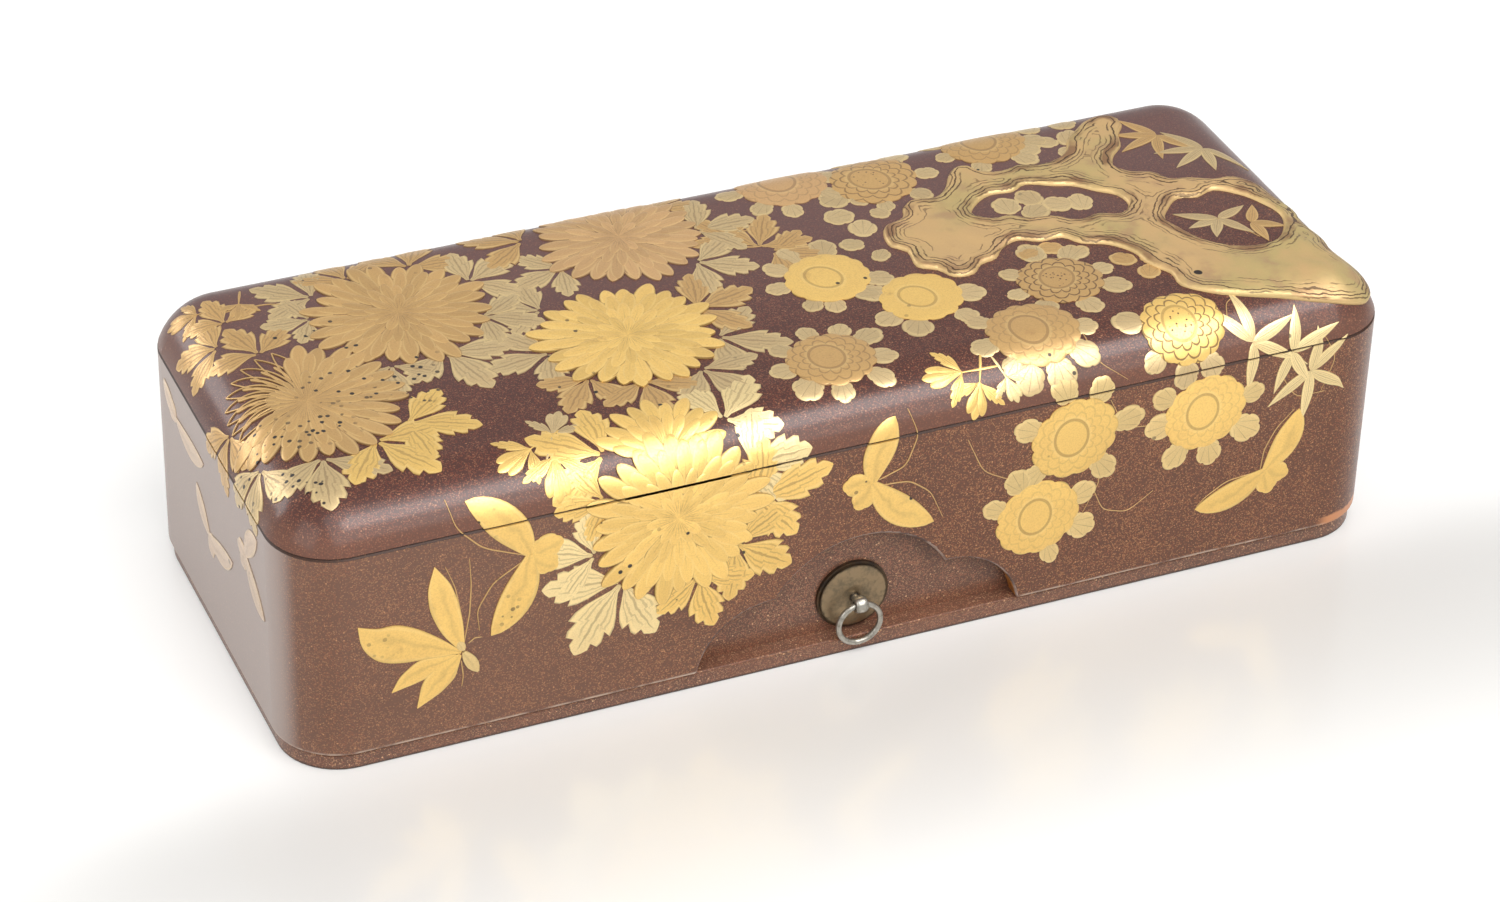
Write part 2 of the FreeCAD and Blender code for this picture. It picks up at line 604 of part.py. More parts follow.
def make_dropper():
    """Round vessel: a bellied body and a domed top with a water and an air hole."""
    belly_foot = f"({DROPPER_HEIGHT} / 3)"
    belly_head = f"(2 * {DROPPER_HEIGHT} / 3)"
    crown = "(dropper_mouth / 4)"
    hole_place = "(dropper_mouth / 6)"
    body = new_body("dropper_body")
    sketch = new_sketch(body, "vessel_outline", "XZ_Plane", x=DROPPER_X, y=TRAY_FLOOR,
                        lift=f"-{ROW_MIDDLE}")
    polygon(sketch, [
        ("0", "0"), ("dropper_foot / 2", "0"), ("dropper_diameter / 2", belly_foot),
        ("dropper_diameter / 2", belly_head), ("dropper_mouth / 2", DROPPER_HEIGHT),
        ("dropper_mouth / 2 - 2 * dropper_wall", DROPPER_HEIGHT),
        ("dropper_mouth / 2 - 2 * dropper_wall", f"{DROPPER_HEIGHT} - dropper_wall"),
        ("dropper_diameter / 2 - dropper_wall", f"{belly_head} - dropper_wall"),
        ("dropper_diameter / 2 - dropper_wall", f"{belly_foot} + dropper_wall"),
        ("dropper_foot / 2 - dropper_wall", "dropper_wall"), ("0", "dropper_wall"),
    ])
    revolve(body, sketch, "vessel", "V_Axis")
    belly = value("dropper_diameter / 2")

    def belly_edge(e):
        round_edge = e.Curve.TypeId == "Part::GeomCircle"
        return round_edge and abs(e.Curve.Radius - belly) < 1e-4

    dress(body, "Fillet", "belly", belly_edge, f"{DROPPER_HEIGHT} / 5")

    body = new_body("dropper_top")
    sketch = new_sketch(body, "top_outline", "XZ_Plane", x=DROPPER_X, y=DROPPER_RIM,
                        lift=f"-{ROW_MIDDLE}")
    polygon(sketch, [("0", "0"), ("dropper_mouth / 2", "0"),
                     ("dropper_mouth / 2", "dropper_wall"),
                     (crown, "dropper_dome"), ("0", "dropper_dome")])
    revolve(body, sketch, "top", "V_Axis")
    sketch = new_sketch(body, "holes_outline", "XY_Plane", x=DROPPER_X, y=ROW_MIDDLE,
                        lift=DROPPER_RIM)
    for sign in ("-", ""):
        circle(sketch, "dropper_hole", f"{sign}{hole_place}", "0")
    pocket(body, sketch, "holes", "2 * dropper_dome", upwards=True)


# Brushes and paper knife


def make_brush(kind, diameter, lane):
    """Bamboo handle, hair and a sliding cap, lying along the trough."""
    axis_y = f"({TROUGH_MIDDLE} + {lane})"
    axis_z = f"({HANDLE_REST} + {diameter} / 2)"
    radius = f"({diameter} / 2)"

    def profile(body, name, start, corners):
        sketch = new_sketch(body, f"{name}_outline", "XZ_Plane", x=start, y=axis_z,
                            lift=f"-{axis_y}")
        polygon(sketch, corners)
        revolve(body, sketch, name, "H_Axis")

    body = new_body(f"brush_handle_{kind}")
    length = f"({HANDLE_END} - {BUTT_END})"
    profile(body, "handle", BUTT_END, [
        ("0", "0"), (length, "0"), (length, radius), ("0", radius)])
    butt = value(BUTT_END)
    dress(body, "Fillet", "butt",
          lambda e: abs(e.BoundBox.XMin - butt) < 1e-4 and abs(e.BoundBox.XMax - butt) < 1e-4,
          f"{radius} / 2")

    body = new_body(f"brush_hair_{kind}")
    outline = [(f"{along} * hair_length", f"{across} * {radius}") for along, across in HAIR_OUTLINE]
    profile(body, "hair", HANDLE_END, [("0", "0"), *outline])

    body = new_body(f"brush_cap_{kind}")
    inside = f"({radius} + cap_fit)"
    depth = "(cap_overlap + hair_length + cap_space)"
    profile(body, "cap", f"({HANDLE_END} - cap_overlap)", [
        ("0", inside), (depth, inside), (depth, "0"), (f"{depth} + cap_end", "0"),
        (f"{depth} + cap_end", f"{inside} + cap_wall"), ("0", f"{inside} + cap_wall")])


def make_knife():
    """Flat handle with a slot for the tang of a straight blade."""
    lane = f"({TROUGH_MIDDLE} + {LANE_PITCH})"
    body = new_body("knife_handle")
    sketch = new_sketch(body, "handle_outline", "XY_Plane", x=f"({BUTT_END} + {KNIFE_END}) / 2",
                        y=lane, lift=HANDLE_REST)
    rounded_rectangle(sketch, f"{KNIFE_END} - {BUTT_END}", "knife_width", "knife_corner")
    pad(body, sketch, "handle", "knife_thickness")
    top = value(f"{HANDLE_REST} + knife_thickness")
    dress(body, "Fillet", "edges", lambda e: level(e, top), "stone_rounding")
    blade_z = f"({HANDLE_REST} + knife_thickness / 2 - blade_thickness / 2)"
    sketch = new_sketch(body, "tang_slot_outline", "XY_Plane", x=KNIFE_END, y=lane, lift=blade_z)
    polygon(sketch, [("-tang_length", f"-{BLADE_HALF}"), ("tang_length", f"-{BLADE_HALF}"),
                     ("tang_length", BLADE_HALF), ("-tang_length", BLADE_HALF)])
    pocket(body, sketch, "tang_slot", "blade_thickness", upwards=True)

    body = new_body("knife_blade")
    sketch = new_sketch(body, "blade_outline", "XY_Plane", x=KNIFE_END, y=lane, lift=blade_z)
    polygon(sketch, [("-tang_length", f"-{BLADE_HALF}"), ("blade_length", f"-{BLADE_HALF}"),
                     ("blade_length - blade_point", BLADE_HALF), ("-tang_length", BLADE_HALF)])
    pad(body, sketch, "blade", "blade_thickness")


# Ring fittings, front and back


def make_ring_fitting(side, turn):
    """Washer, domed plate, staple with clinched legs, and the ring that hangs in its eye."""
    placement = FreeCAD.Placement(Vector(0, 0, 0), FreeCAD.Rotation(Vector(0, 0, 1), turn))
    hole = "(shank_diameter / 2 + shank_fit)"

    def turned(name, corners):
        body = new_body(f"{name}_{side}")
        sketch = new_sketch(body, f"{name}_outline", "YZ_Plane", x=WALL_FACE,
                            y=FITTING_HEIGHT)
        polygon(sketch, corners)
        revolve(body, sketch, name, "H_Axis")
        body.Placement = placement

    turned("ring_washer", [
        ("0", hole), ("0", "washer_diameter / 2"),
        ("-washer_thickness", "washer_diameter / 2"), ("-washer_thickness", hole)])
    turned("ring_plate", [
        ("-washer_thickness", hole), ("-washer_thickness", PLATE_RADIUS),
        ("-washer_thickness - plate_edge", PLATE_RADIUS),
        ("-washer_thickness - plate_edge - plate_dome", "plate_crown"),
        ("-washer_thickness - plate_edge - plate_dome", hole)])

    across = FreeCAD.Rotation(Vector(0, 1, 0), 90)
    inwards = FreeCAD.Rotation(Vector(1, 0, 0), -90)
    eye = document.addObject("Part::Torus", f"eye_{side}")
    eye.Placement.Rotation = across
    bind(eye, Radius1=EYE_RADIUS, Radius2="eye_wire / 2", Placement__Base__y=EYE_Y,
         Placement__Base__z=FITTING_HEIGHT)
    shank = document.addObject("Part::Cylinder", f"shank_{side}")
    shank.Placement.Rotation = inwards
    bind(shank, Radius="shank_diameter / 2", Placement__Base__z=FITTING_HEIGHT,
         Placement__Base__y=f"{EYE_Y} + {EYE_RADIUS}",
         Height=f"{STAND_OFF} - {EYE_RADIUS} + base_thickness + leg_thickness")
    legs = document.addObject("Part::Box", f"legs_{side}")
    bind(legs, Length="2 * leg_length", Width="leg_thickness", Height="leg_width",
         Placement__Base__x="-leg_length", Placement__Base__y=f"{WALL_FACE} + base_thickness",
         Placement__Base__z=f"{FITTING_HEIGHT} - leg_width / 2")
    staple = document.addObject("Part::MultiFuse", f"ring_staple_{side}")
    staple.Shapes = [eye, shank, legs]
    staple.Label = f"ring_staple_{side}"
    staple.Placement = placement
    parts.append(staple)

    ring = document.addObject("Part::Torus", f"cord_ring_{side}")
    ring.Label = f"cord_ring_{side}"
    facing = FreeCAD.Rotation(Vector(1, 0, 0), 90)
    ring.Placement.Rotation = facing.multiply(placement.Rotation)
    sign = "-" if turn else ""
    drop = "(ring_diameter / 2 - ring_wire / 2)"
    bind(ring, Radius1=drop, Radius2="ring_wire / 2", Placement__Base__y=f"{sign}{EYE_Y}",
         Placement__Base__z=f"{FITTING_HEIGHT} - {drop}")
    parts.append(ring)


# Assembly

make_base_board()
make_base_wall()
make_ring_fitting("front", 0)
make_ring_fitting("back", 180)
make_case_wall()
make_case_floor()
make_case_rim_liner()
make_lid_shell()
make_tray_frame()
make_tray_board()
make_brush_rest("brush_rest_left", f"({BUTT_END} + rest_inset)")
make_brush_rest("brush_rest_right", f"({KNIFE_END} - rest_setback)")
make_inkstone()
make_ink_stick()
make_dropper()
make_brush("large", "large_diameter", "0")
make_brush("small", "small_diameter", f"-{LANE_PITCH}")
make_knife()
document.recompute()

for item in document.Objects:
    if "Invalid" in item.State or "Error" in item.State:
        raise RuntimeError(f"{item.Name} failed: {item.State}")
for item in parts:
    if item.Shape.isNull() or not item.Shape.isValid():
        raise RuntimeError(f"{item.Label} has no valid shape")

os.makedirs("parts", exist_ok=True)
for item in parts:
    item.Shape.exportStep(f"parts/{item.Label}.step")
    print(f"{item.Label}: {item.Shape.Volume:.1f} mm3, {len(item.Shape.Solids)} solid")
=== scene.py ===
# Looks of the lacquer writing box: camera, lacquer grounds, raised gold decoration,
# metal fittings, the writing tools in the tray, floor and light.
#
# Lengths in the patterns and in the drawing of the decoration are millimetres. The
# decoration is drawn on the unrolled skin of the box: u runs along X, v along Y, and
# h stands proud of the surface.

import math
import random

import bmesh
import bpy
import numpy as np
from mathutils import Matrix, Vector, geometry


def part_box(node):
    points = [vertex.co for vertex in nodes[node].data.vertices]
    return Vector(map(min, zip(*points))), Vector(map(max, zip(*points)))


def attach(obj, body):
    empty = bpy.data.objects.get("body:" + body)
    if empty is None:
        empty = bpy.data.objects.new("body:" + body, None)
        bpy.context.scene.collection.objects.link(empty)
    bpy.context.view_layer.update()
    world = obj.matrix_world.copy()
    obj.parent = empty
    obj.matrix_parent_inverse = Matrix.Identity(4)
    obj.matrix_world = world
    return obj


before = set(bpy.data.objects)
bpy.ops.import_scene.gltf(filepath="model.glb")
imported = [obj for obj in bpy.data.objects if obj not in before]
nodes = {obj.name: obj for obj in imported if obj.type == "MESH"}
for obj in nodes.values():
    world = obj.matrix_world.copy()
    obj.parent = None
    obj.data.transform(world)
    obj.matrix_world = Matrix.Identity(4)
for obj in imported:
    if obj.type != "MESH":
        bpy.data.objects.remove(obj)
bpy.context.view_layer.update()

dice = random.Random(1867)

MM = 0.001
HALF_LENGTH, HALF_WIDTH, SEAM = (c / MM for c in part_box("case_wall")[1])
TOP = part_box("lid_shell")[1].z / MM

# The lid's shoulder is an arc that reaches in from the wall and rises from the seam.
REACH = 14.0
RISE = TOP - SEAM
SHOULDER = (REACH ** 2 + RISE ** 2) / (2 * RISE)
TURN = math.asin(REACH / SHOULDER)
ARC = SHOULDER * TURN
CORE_X = HALF_LENGTH - REACH
CORE_Y = HALF_WIDTH - REACH
SEAM_HALF_GAP = 0.2

# The cusped opening is three circles: centre along X, height of the centre, radius.
OPENING = ((0, 7.6, 22.3), (20, 1.4, 17.2), (-20, 1.4, 17.2))
OPENING_HALF_LENGTH = 38.6
OPENING_TOP = 31


# Camera

AZIMUTH, ELEVATION, ROLL = (math.radians(d) for d in (-23.8863, 34.1388, 1.5174))
TARGET = Vector((-15.161, -23.934, 39.118)) * MM
DISTANCE = 953.095 * MM
SENSOR = 36
FOCAL_PIXELS = 4541.5
PHOTO_WIDTH = 1500

back = Vector((math.sin(AZIMUTH) * math.cos(ELEVATION),
               -math.cos(AZIMUTH) * math.cos(ELEVATION), math.sin(ELEVATION)))
level_right = Vector((0, 0, 1)).cross(back).normalized()
level_up = back.cross(level_right)
right = level_right * math.cos(ROLL) + level_up * math.sin(ROLL)
up = level_up * math.cos(ROLL) - level_right * math.sin(ROLL)
camera_data = bpy.data.cameras.new("camera")
camera_data.lens = FOCAL_PIXELS / PHOTO_WIDTH * SENSOR
camera_data.sensor_width = SENSOR
camera_data.clip_start = 0.05
camera_data.clip_end = 30
camera = bpy.data.objects.new("camera", camera_data)
bpy.context.scene.collection.objects.link(camera)
camera.matrix_world = Matrix.Translation(TARGET + back * DISTANCE) @ Matrix(
    (right, up, back)).transposed().to_4x4()
bpy.context.scene.camera = camera


# Materials


def rgb(red, green, blue):
    """Screen colour, 0 to 255, as the linear colour that nodes take."""
    def linear(c):
        c /= 255
        return c / 12.92 if c <= 0.04045 else ((c + 0.055) / 1.055) ** 2.4
    return (linear(red), linear(green), linear(blue), 1.0)


def scaled(colour, factor):
    return tuple(min(c * factor, 1.0) for c in colour[:3]) + (1.0,)


class Field:
    """A number that varies over the surface; arithmetic with it adds Math nodes."""

    def __init__(self, paint, socket):
        self.paint = paint
        self.socket = socket

    def math(self, operation, other=0.0):
        return self.paint.math(operation, self, other)

    def __add__(self, other):
        return self.math("ADD", other)

    def __sub__(self, other):
        return self.math("SUBTRACT", other)

    def __rsub__(self, other):
        return self.paint.math("SUBTRACT", other, self)

    def __mul__(self, other):
        return self.math("MULTIPLY", other)

    def __pow__(self, power):
        return self.math("POWER", power)

    def __abs__(self):
        return self.math("ABSOLUTE")

    def fract(self):
        return self.math("FRACT")

    def rise(self, low, high, start=0.0, end=1.0):
        """Smooth step from start to end while the value goes from low to high."""
        node = self.paint.add("ShaderNodeMapRange", interpolation_type="SMOOTHSTEP", Value=self)
        for socket, number in zip(node.inputs[1:5], (low, high, start, end)):
            socket.default_value = number
        return Field(self.paint, node.outputs[0])

    def band(self, middle, half, soft=0.5):
        """1 on the line where the value is middle, falling to 0 at half to either side."""
        return abs(self - middle).rise(half, half * soft)


def most(first, *others):
    """The largest of several fields."""
    for other in others:
        first = first.math("MAXIMUM", other)
    return first


def length(a, b):
    return (a * a + b * b) ** 0.5


class Paint:
    """A node material, built step by step."""

    def __init__(self, name, **shader):
        self.material = bpy.data.materials.new(name)
        self.material.use_nodes = True
        self.tree = self.material.node_tree
        self.shader = self.tree.nodes["Principled BSDF"]
        self.set(**shader)
        self.place = self.add("ShaderNodeVectorMath", operation="SCALE",
                              Vector=self.add("ShaderNodeTexCoord").outputs["Object"],
                              Scale=1 / MM)

    def add(self, kind, operation=None, **values):
        node = self.tree.nodes.new(kind)
        if operation:
            node.operation = operation
        for name, value in values.items():
            if name in node.inputs:
                self.put(node.inputs[name], value)
            else:
                setattr(node, name, value)
        return node

    def put(self, socket, value):
        if isinstance(value, Field):
            value = value.socket
        if isinstance(value, bpy.types.Node):
            value = value.outputs[0]
        if isinstance(value, bpy.types.NodeSocket):
            self.tree.links.new(value, socket)
        else:
            socket.default_value = value

    def set(self, **shader):
        for name, value in shader.items():
            self.put(self.shader.inputs[name.replace("_", " ")], value)

    def math(self, operation, a, b):
        node = self.add("ShaderNodeMath", operation=operation)
        self.put(node.inputs[0], a)
        self.put(node.inputs[1], b)
        return Field(self, node.outputs[0])

    def mix(self, factor, a, b):
        node = self.add("ShaderNodeMix", data_type="RGBA")
        for index, value in ((0, factor), (6, a), (7, b)):
            self.put(node.inputs[index], value)
        return node.outputs[2]

    def noise(self, size, detail=3.0, roughness=0.55, stretch=None):
        where = self.place
        if stretch:
            where = self.add("ShaderNodeVectorMath", operation="MULTIPLY", Vector=where)
            where.inputs[1].default_value = stretch
        node = self.add("ShaderNodeTexNoise", Vector=where, Scale=1 / size, Detail=detail,
                        Roughness=roughness)
        return Field(self, node.outputs[0])

    def cells(self, size):
        """Scattered cells: the distance from each cell's middle, and its random colour."""
        node = self.add("ShaderNodeTexVoronoi", Vector=self.place, Scale=1 / size)
        return Field(self, node.outputs["Distance"]), node.outputs["Color"]

    def attribute(self, name, output):
        return self.add("ShaderNodeAttribute", attribute_name=name).outputs[output]

    def split(self, vector):
        return [Field(self, s) for s in self.add("ShaderNodeSeparateXYZ", Vector=vector).outputs]

    def bump(self, height, distance, strength=1.0):
        node = self.add("ShaderNodeBump", Height=height, Distance=distance * MM,
                        Strength=strength)
        self.put(self.shader.inputs["Normal"], node)


# Sizes of the cells that hold a flake or a painted glint.
FLAKE = 0.27
GLINT = 0.5


def sprinkled(name, ground, red, gold, gloss=0.27, density=0.55, coat=0.6):
    """Nashiji: metal flakes sunk in brown lacquer under a clear coat, with rare painted glints."""
    p = Paint(name, Roughness=0.5, Coat_Weight=coat, Coat_Roughness=gloss, Coat_IOR=1.5,
              Specular_IOR_Level=0.15)
    from_flake, chances = p.cells(FLAKE)
    chance, tint, tilt = p.split(chances)
    from_glint, chances = p.cells(GLINT)
    rare = p.split(chances)[0]
    level = p.noise(9, 4) * 0.9 + (density - 0.45)
    flake = (level - chance).rise(0.0, 0.08) * from_flake.rise(0.7, 0.4, 0.0, 0.7)
    # Painted glints: rare flakes coloured brighter than the gold, as if catching the light.
    painted_glint = rare.rise(0.965, 0.98, 0.0, 0.8) * from_glint.rise(0.45, 0.3)
    colour = p.mix(tint.rise(0.35, 0.95), red, gold)
    ground = tuple(g + 0.2 * (r - g) for g, r in zip(ground, red))
    cloudy = p.mix(p.noise(30, 2), ground, scaled(ground, 0.75))
    p.set(Base_Color=p.mix(most(flake, painted_glint), cloudy, p.mix(painted_glint, colour, scaled(gold, 1.5))),
          Metallic=flake * 0.3)
    p.bump(p.noise(22, 1) + tilt * 0.045, 0.25, 0.35)
    return p


def veil(p, mask, colour, strength=1.0):
    """Lays a film over the paint so far where the mask is 1."""
    below = p.shader.inputs["Base Color"].links[0].from_socket
    p.set(Base_Color=p.mix(mask * strength, below, colour))


def lid_coat():
    """Purple brown at the back, a painted reflection, dark red on the front of the top, like the case below.
    """
    p = sprinkled("nashiji_lid", rgb(66, 42, 38), rgb(122, 66, 50), rgb(154, 104, 76), gloss=0.19,
                  coat=0.42)
    x, y, z = p.split(p.place)
    # Painted reflection: paler and greyer towards the back of the top.
    veil(p, y.rise(-28, 30), rgb(112, 86, 84), 0.5)
    veil(p, z.rise(60.5, 55) * abs(y).rise(0, 30), rgb(132, 94, 76), 0.4)
    return p.material


def case_coat():
    """Paler to the left, with a painted reflection on the left end; dark with painted shade and dull under
    the seam; pale at the foot, partly rubbed and partly a painted highlight; worn at one corner.
    """
    p = sprinkled("nashiji_case", rgb(84, 56, 42), rgb(148, 86, 56), rgb(180, 128, 84))
    x, y, z = p.split(p.place)
    veil(p, x.rise(20, -90), rgb(132, 104, 88), 0.25)
    # Painted reflection: the left end pale and grey.
    veil(p, x.rise(3.5 - HALF_LENGTH, 0.4 - HALF_LENGTH), rgb(168, 152, 144), 0.75)
    # Painted shade of the gap under the seam; the clear coat is thinned there too.
    veil(p, z.rise(SEAM - 0.5, SEAM - 0.35), rgb(52, 37, 32), 0.85)
    p.set(Coat_Weight=z.rise(SEAM - 0.5, SEAM - 0.35, 0.6, 0.05))
    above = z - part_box("case_wall")[0].z / MM
    # Pale line along the foot: partly rubbed, partly a painted highlight on the edge.
    veil(p, above.rise(1.0, 0.45) * p.noise(7, 4).rise(0.36, 0.6), rgb(190, 165, 145))
    ragged = above + p.noise(2.2, 3) * 1.6
    corner = x.rise(HALF_LENGTH - 16, HALF_LENGTH - 12) * ragged.rise(3.6, 2.9) * y.rise(-36, -42)
    veil(p, corner, rgb(196, 132, 88))
    return p.material


def base_coat(name, lift):
    """The base, with painted shade under the rim of the opening and a painted contact shade along its foot,
    dull on the ledge; lift brightens it.
    """
    p = sprinkled(name, rgb(80 + lift, 60 + lift, 50 + lift), rgb(162 + lift, 104 + lift, 78 + lift),
                  rgb(212 + lift, 166 + lift, 122 + lift))
    x, y, z = p.split(p.place)
    ledge_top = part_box("base_board")[1].z / MM
    p.set(Coat_Weight=abs(z - ledge_top).rise(0.35, 0.6, 0.12, 0.6))
    middle, end = (length(abs(x) - across, z - up_z) - radius for across, up_z, radius in OPENING[:2])
    # Painted shade on the wall just inside the rim of the opening.
    painted_shade = middle.math("MINIMUM", end).rise(-5.0, -1.5) * z.rise(4.4, 7)
    veil(p, painted_shade, rgb(40, 26, 22), 0.18)
    veil(p, z.rise(9, 4.5) * z.rise(3.7, 4.2), rgb(160, 104, 78), 0.14)
    veil(p, z.rise(4.1, 3.9) * p.noise(9, 3).rise(0.3, 0.6), rgb(118, 76, 57), 0.36)
    # Painted contact shade along the very foot.
    veil(p, z.rise(0.9, 0.35), rgb(44, 30, 25), 0.8)
    return p.material


def bare_face(name, roughness, cloud, spread, first, second):
    """A worn or cut face without lacquer, in patches of two colours; on the worn rim of the opening the pale
    patches are partly a painted highlight.
    """
    p = Paint(name, Roughness=roughness)
    p.set(Base_Color=p.mix(p.noise(cloud, 4).rise(0.5 - spread, 0.5 + spread), first, second))
    p.bump(p.noise(0.5, 3), 0.05)
    return p.material


def black_lacquer(name, dust=0.25):
    return sprinkled(name, rgb(30, 25, 24), rgb(92, 60, 40), rgb(150, 118, 72), 0.1, dust).material


GOLDS = {"tan": rgb(205, 166, 108), "yellow": rgb(240, 200, 116), "rosy": rgb(208, 168, 118),
         "green": rgb(206, 181, 134), "honey": rgb(222, 194, 134), "pale": rgb(240, 216, 158),
         "faded": rgb(208, 186, 164)}


def gold_relief(name, pattern):
    """Gold powder on the raised pieces; the pattern gives fine brown lines and a painted highlight along the
    rims.
    """
    p = Paint(name, Specular_IOR_Level=0.5)
    tone = p.attribute("tone", "Color")
    lines, rim_highlight = pattern(p, *p.split(p.attribute("place", "Vector")))
    powder = p.noise(0.35, 2)
    worn = p.noise(5, 5, 0.65).rise(0.6, 0.78)
    colour = p.mix(p.noise(9, 3).rise(0.3, 0.75, 0.0, 0.22), tone, p.mix(0.5, tone, rgb(190, 140, 90)))
    colour = p.mix(worn * 0.35, colour, rgb(150, 104, 66))
    colour = p.mix(powder.rise(0.35, 0.75, 0.0, 0.16), colour, rgb(130, 88, 48))
    # Painted highlight along the rims of each piece.
    colour = p.mix(rim_highlight * 0.26, colour, rgb(250, 222, 156))
    from_speck, chances = p.cells(2.1)
    x, y, z = p.split(p.place)
    near_left = x.rise(-62, -88) * y.rise(12, -18)
    often = (p.split(chances)[0] + near_left).rise(0.9, 0.94)
    speck = from_speck.rise(0.27, 0.2) * p.noise(26, 1).rise(0.5, 0.62) * often
    p.set(Base_Color=p.mix(speck, p.mix(lines, colour, rgb(84, 56, 30)), rgb(38, 30, 26)),
          Roughness=powder.rise(0.3, 0.8, 0.32, 0.48),
          Metallic=(1.0 - most(speck, lines)) * 0.45)
    p.bump(powder * 0.06 - lines * 0.5, 0.16, 0.7)
    return p.material


def petal_lines(p, along, across, _):
    """Outline, vein and two strokes from the root; the outline is darker toward the root, partly painted
    shade where the petals crowd; and a painted highlight along each side.
    """
    side = abs(across)
    # The outline is darker toward the root: a drawn line, partly painted shade where the petals crowd.
    outline = side.rise(0.84, 0.96) * along.rise(0.3, 1.0, 0.95, 0.6)
    vein = side.band(0.0, 0.08) * along.rise(0.9, 0.5, 0.0, 0.3)
    strokes = side.band(0.45, 0.12) * along.rise(0.65, 0.3, 0.0, 0.4)
    lines = most(outline, vein, strokes) * along.rise(0.06, 0.3, 0.1, 0.85)
    return lines, side.band(0.72, 0.14) * along.rise(0.35, 0.8, 0.0, 0.8)


def leaf_lines(p, along, across, _):
    """Veins that run with the lobe, a thin outline and a painted highlight along the rim inside it."""
    side = abs(across + (p.noise(3, 2) - 0.5) * 0.3)
    edge = abs(across)
    middle = side.rise(0.1, 0.04) * along.rise(0.97, 0.85, 0.0, 0.7)
    near = side.band(0.36, 0.07) * along.rise(0.86, 0.6, 0.0, 0.5)
    far = side.band(0.62, 0.06) * along.rise(0.6, 0.45, 0.0, 0.45)
    return most(middle, near, far, edge.rise(0.9, 0.98, 0.0, 0.6)) * 0.6, edge.band(0.82, 0.12)


def bloom_lines(p, x, y, strength):
    """Round bloom: an oval line round the middle, fish-scale petals outside it and a painted highlight ring
    just outside the oval.
    """
    heart = length((x + 0.08) * 1.25, y - 0.05)
    turn = y.math("ARCTAN2", x).math("DIVIDE", 2 * math.pi)
    row = (heart - 0.47) * 4.6
    sideways = abs((turn * 13.0 + row.math("FLOOR") * 0.5).fract() - 0.5)
    arch = 0.95 - sideways ** 2.0 * 2.6
    scales = row.fract().band(arch, 0.17) * heart.rise(0.48, 0.52)
    seeds = p.cells(1.0)[0].rise(0.26, 0.2) * heart.rise(0.42, 0.36)
    drawn_lines = most(scales * 0.8, seeds * strength.rise(0.5, 0.8)) * strength ** 1.3
    edge = length(x, y).rise(0.95, 1.0, 0.0, 0.5)
    return most(drawn_lines, edge, heart.band(0.46, 0.05) * 0.4), heart.band(0.53, 0.05) * 0.6


def round_leaf_lines(p, x, y, _):
    """Small round leaf: thin veins from the foot, an outline and a painted highlight inside the rim."""
    radius = length(x, y)
    turn = y.math("ARCTAN2", x + 0.95)
    veins = (turn * 2.3 + 0.5).fract().band(0.5, 0.06) * radius.rise(0.92, 0.7)
    return most(veins * 0.35, radius.rise(0.93, 1.0, 0.0, 0.45)), radius.band(0.82, 0.12)


def wing_lines(p, along, across, _):
    """A few faint broad bands along a wing and a painted highlight along the rim."""
    side = abs(across)
    bands = (across * 0.9 + p.noise(5, 2) * 1.2).fract()
    strokes = abs(bands - 0.5).rise(0.3, 0.0, 0.0, 0.16) * along.rise(0.95, 0.6)
    return most(strokes, side.rise(0.93, 0.99, 0.0, 0.3)), side.band(0.84, 0.1) * 0.7


def rock_lines(p, rim):
    """Dark contour lines that follow the rims, and fainter ones further in."""
    level = rim + (p.noise(8, 4) - 0.5) * 4.2
    lines = level.band(1.7, 0.2)
    for depth, half, strength, cloud in ((2.7, 0.208, 0.9, 7), (3.7, 0.195, 0.7, 10),
                                         (4.6, 0.169, 0.6, 6), (0.8, 0.234, 0.8, 12)):
        broken = p.noise(cloud, 2).rise(0.43, 0.52)
        lines = most(lines, level.band(depth, half) * broken * strength)
    return lines * 0.9


def rock_gold():
    """Gold of the rock, with painted shade a little in from its rims, a painted highlight right at the rim,
    and one bare spot.
    """
    p = Paint("gold_rock", Metallic=0.42)
    rim = p.split(p.attribute("place", "Vector"))[0]
    lines = rock_lines(p, rim)
    colour = p.mix(p.noise(14, 3).rise(0.38, 0.66), rgb(206, 170, 118), rgb(190, 168, 112))
    colour = p.mix(p.noise(7, 4).rise(0.5, 0.72, 0.0, 0.55), colour, rgb(176, 132, 104))
    # Painted shade: a brown band a little in from the rims.
    shaded = rim.band(1.5, 1.3) * p.noise(10, 3).rise(0.42, 0.62)
    colour = p.mix(shaded * 0.75, colour, rgb(126, 84, 58))
    # Painted highlight right at the rim.
    colour = p.mix(rim.rise(0.5, 0.25, 0.0, 0.6), colour, rgb(222, 190, 132))
    x, y, z = p.split(p.place)
    aside, behind = x - 86.0, y + 29.1
    bare = (aside * aside + behind * behind).rise(1.1, 0.7)
    p.set(Base_Color=p.mix(bare, p.mix(lines, colour, rgb(74, 50, 32)), rgb(44, 34, 30)),
          Roughness=p.noise(0.4, 2).rise(0.3, 0.8, 0.44, 0.58))
    p.bump(p.noise(5, 4) * 0.9 - lines * 0.5, 0.3, 0.6)
    return p.material


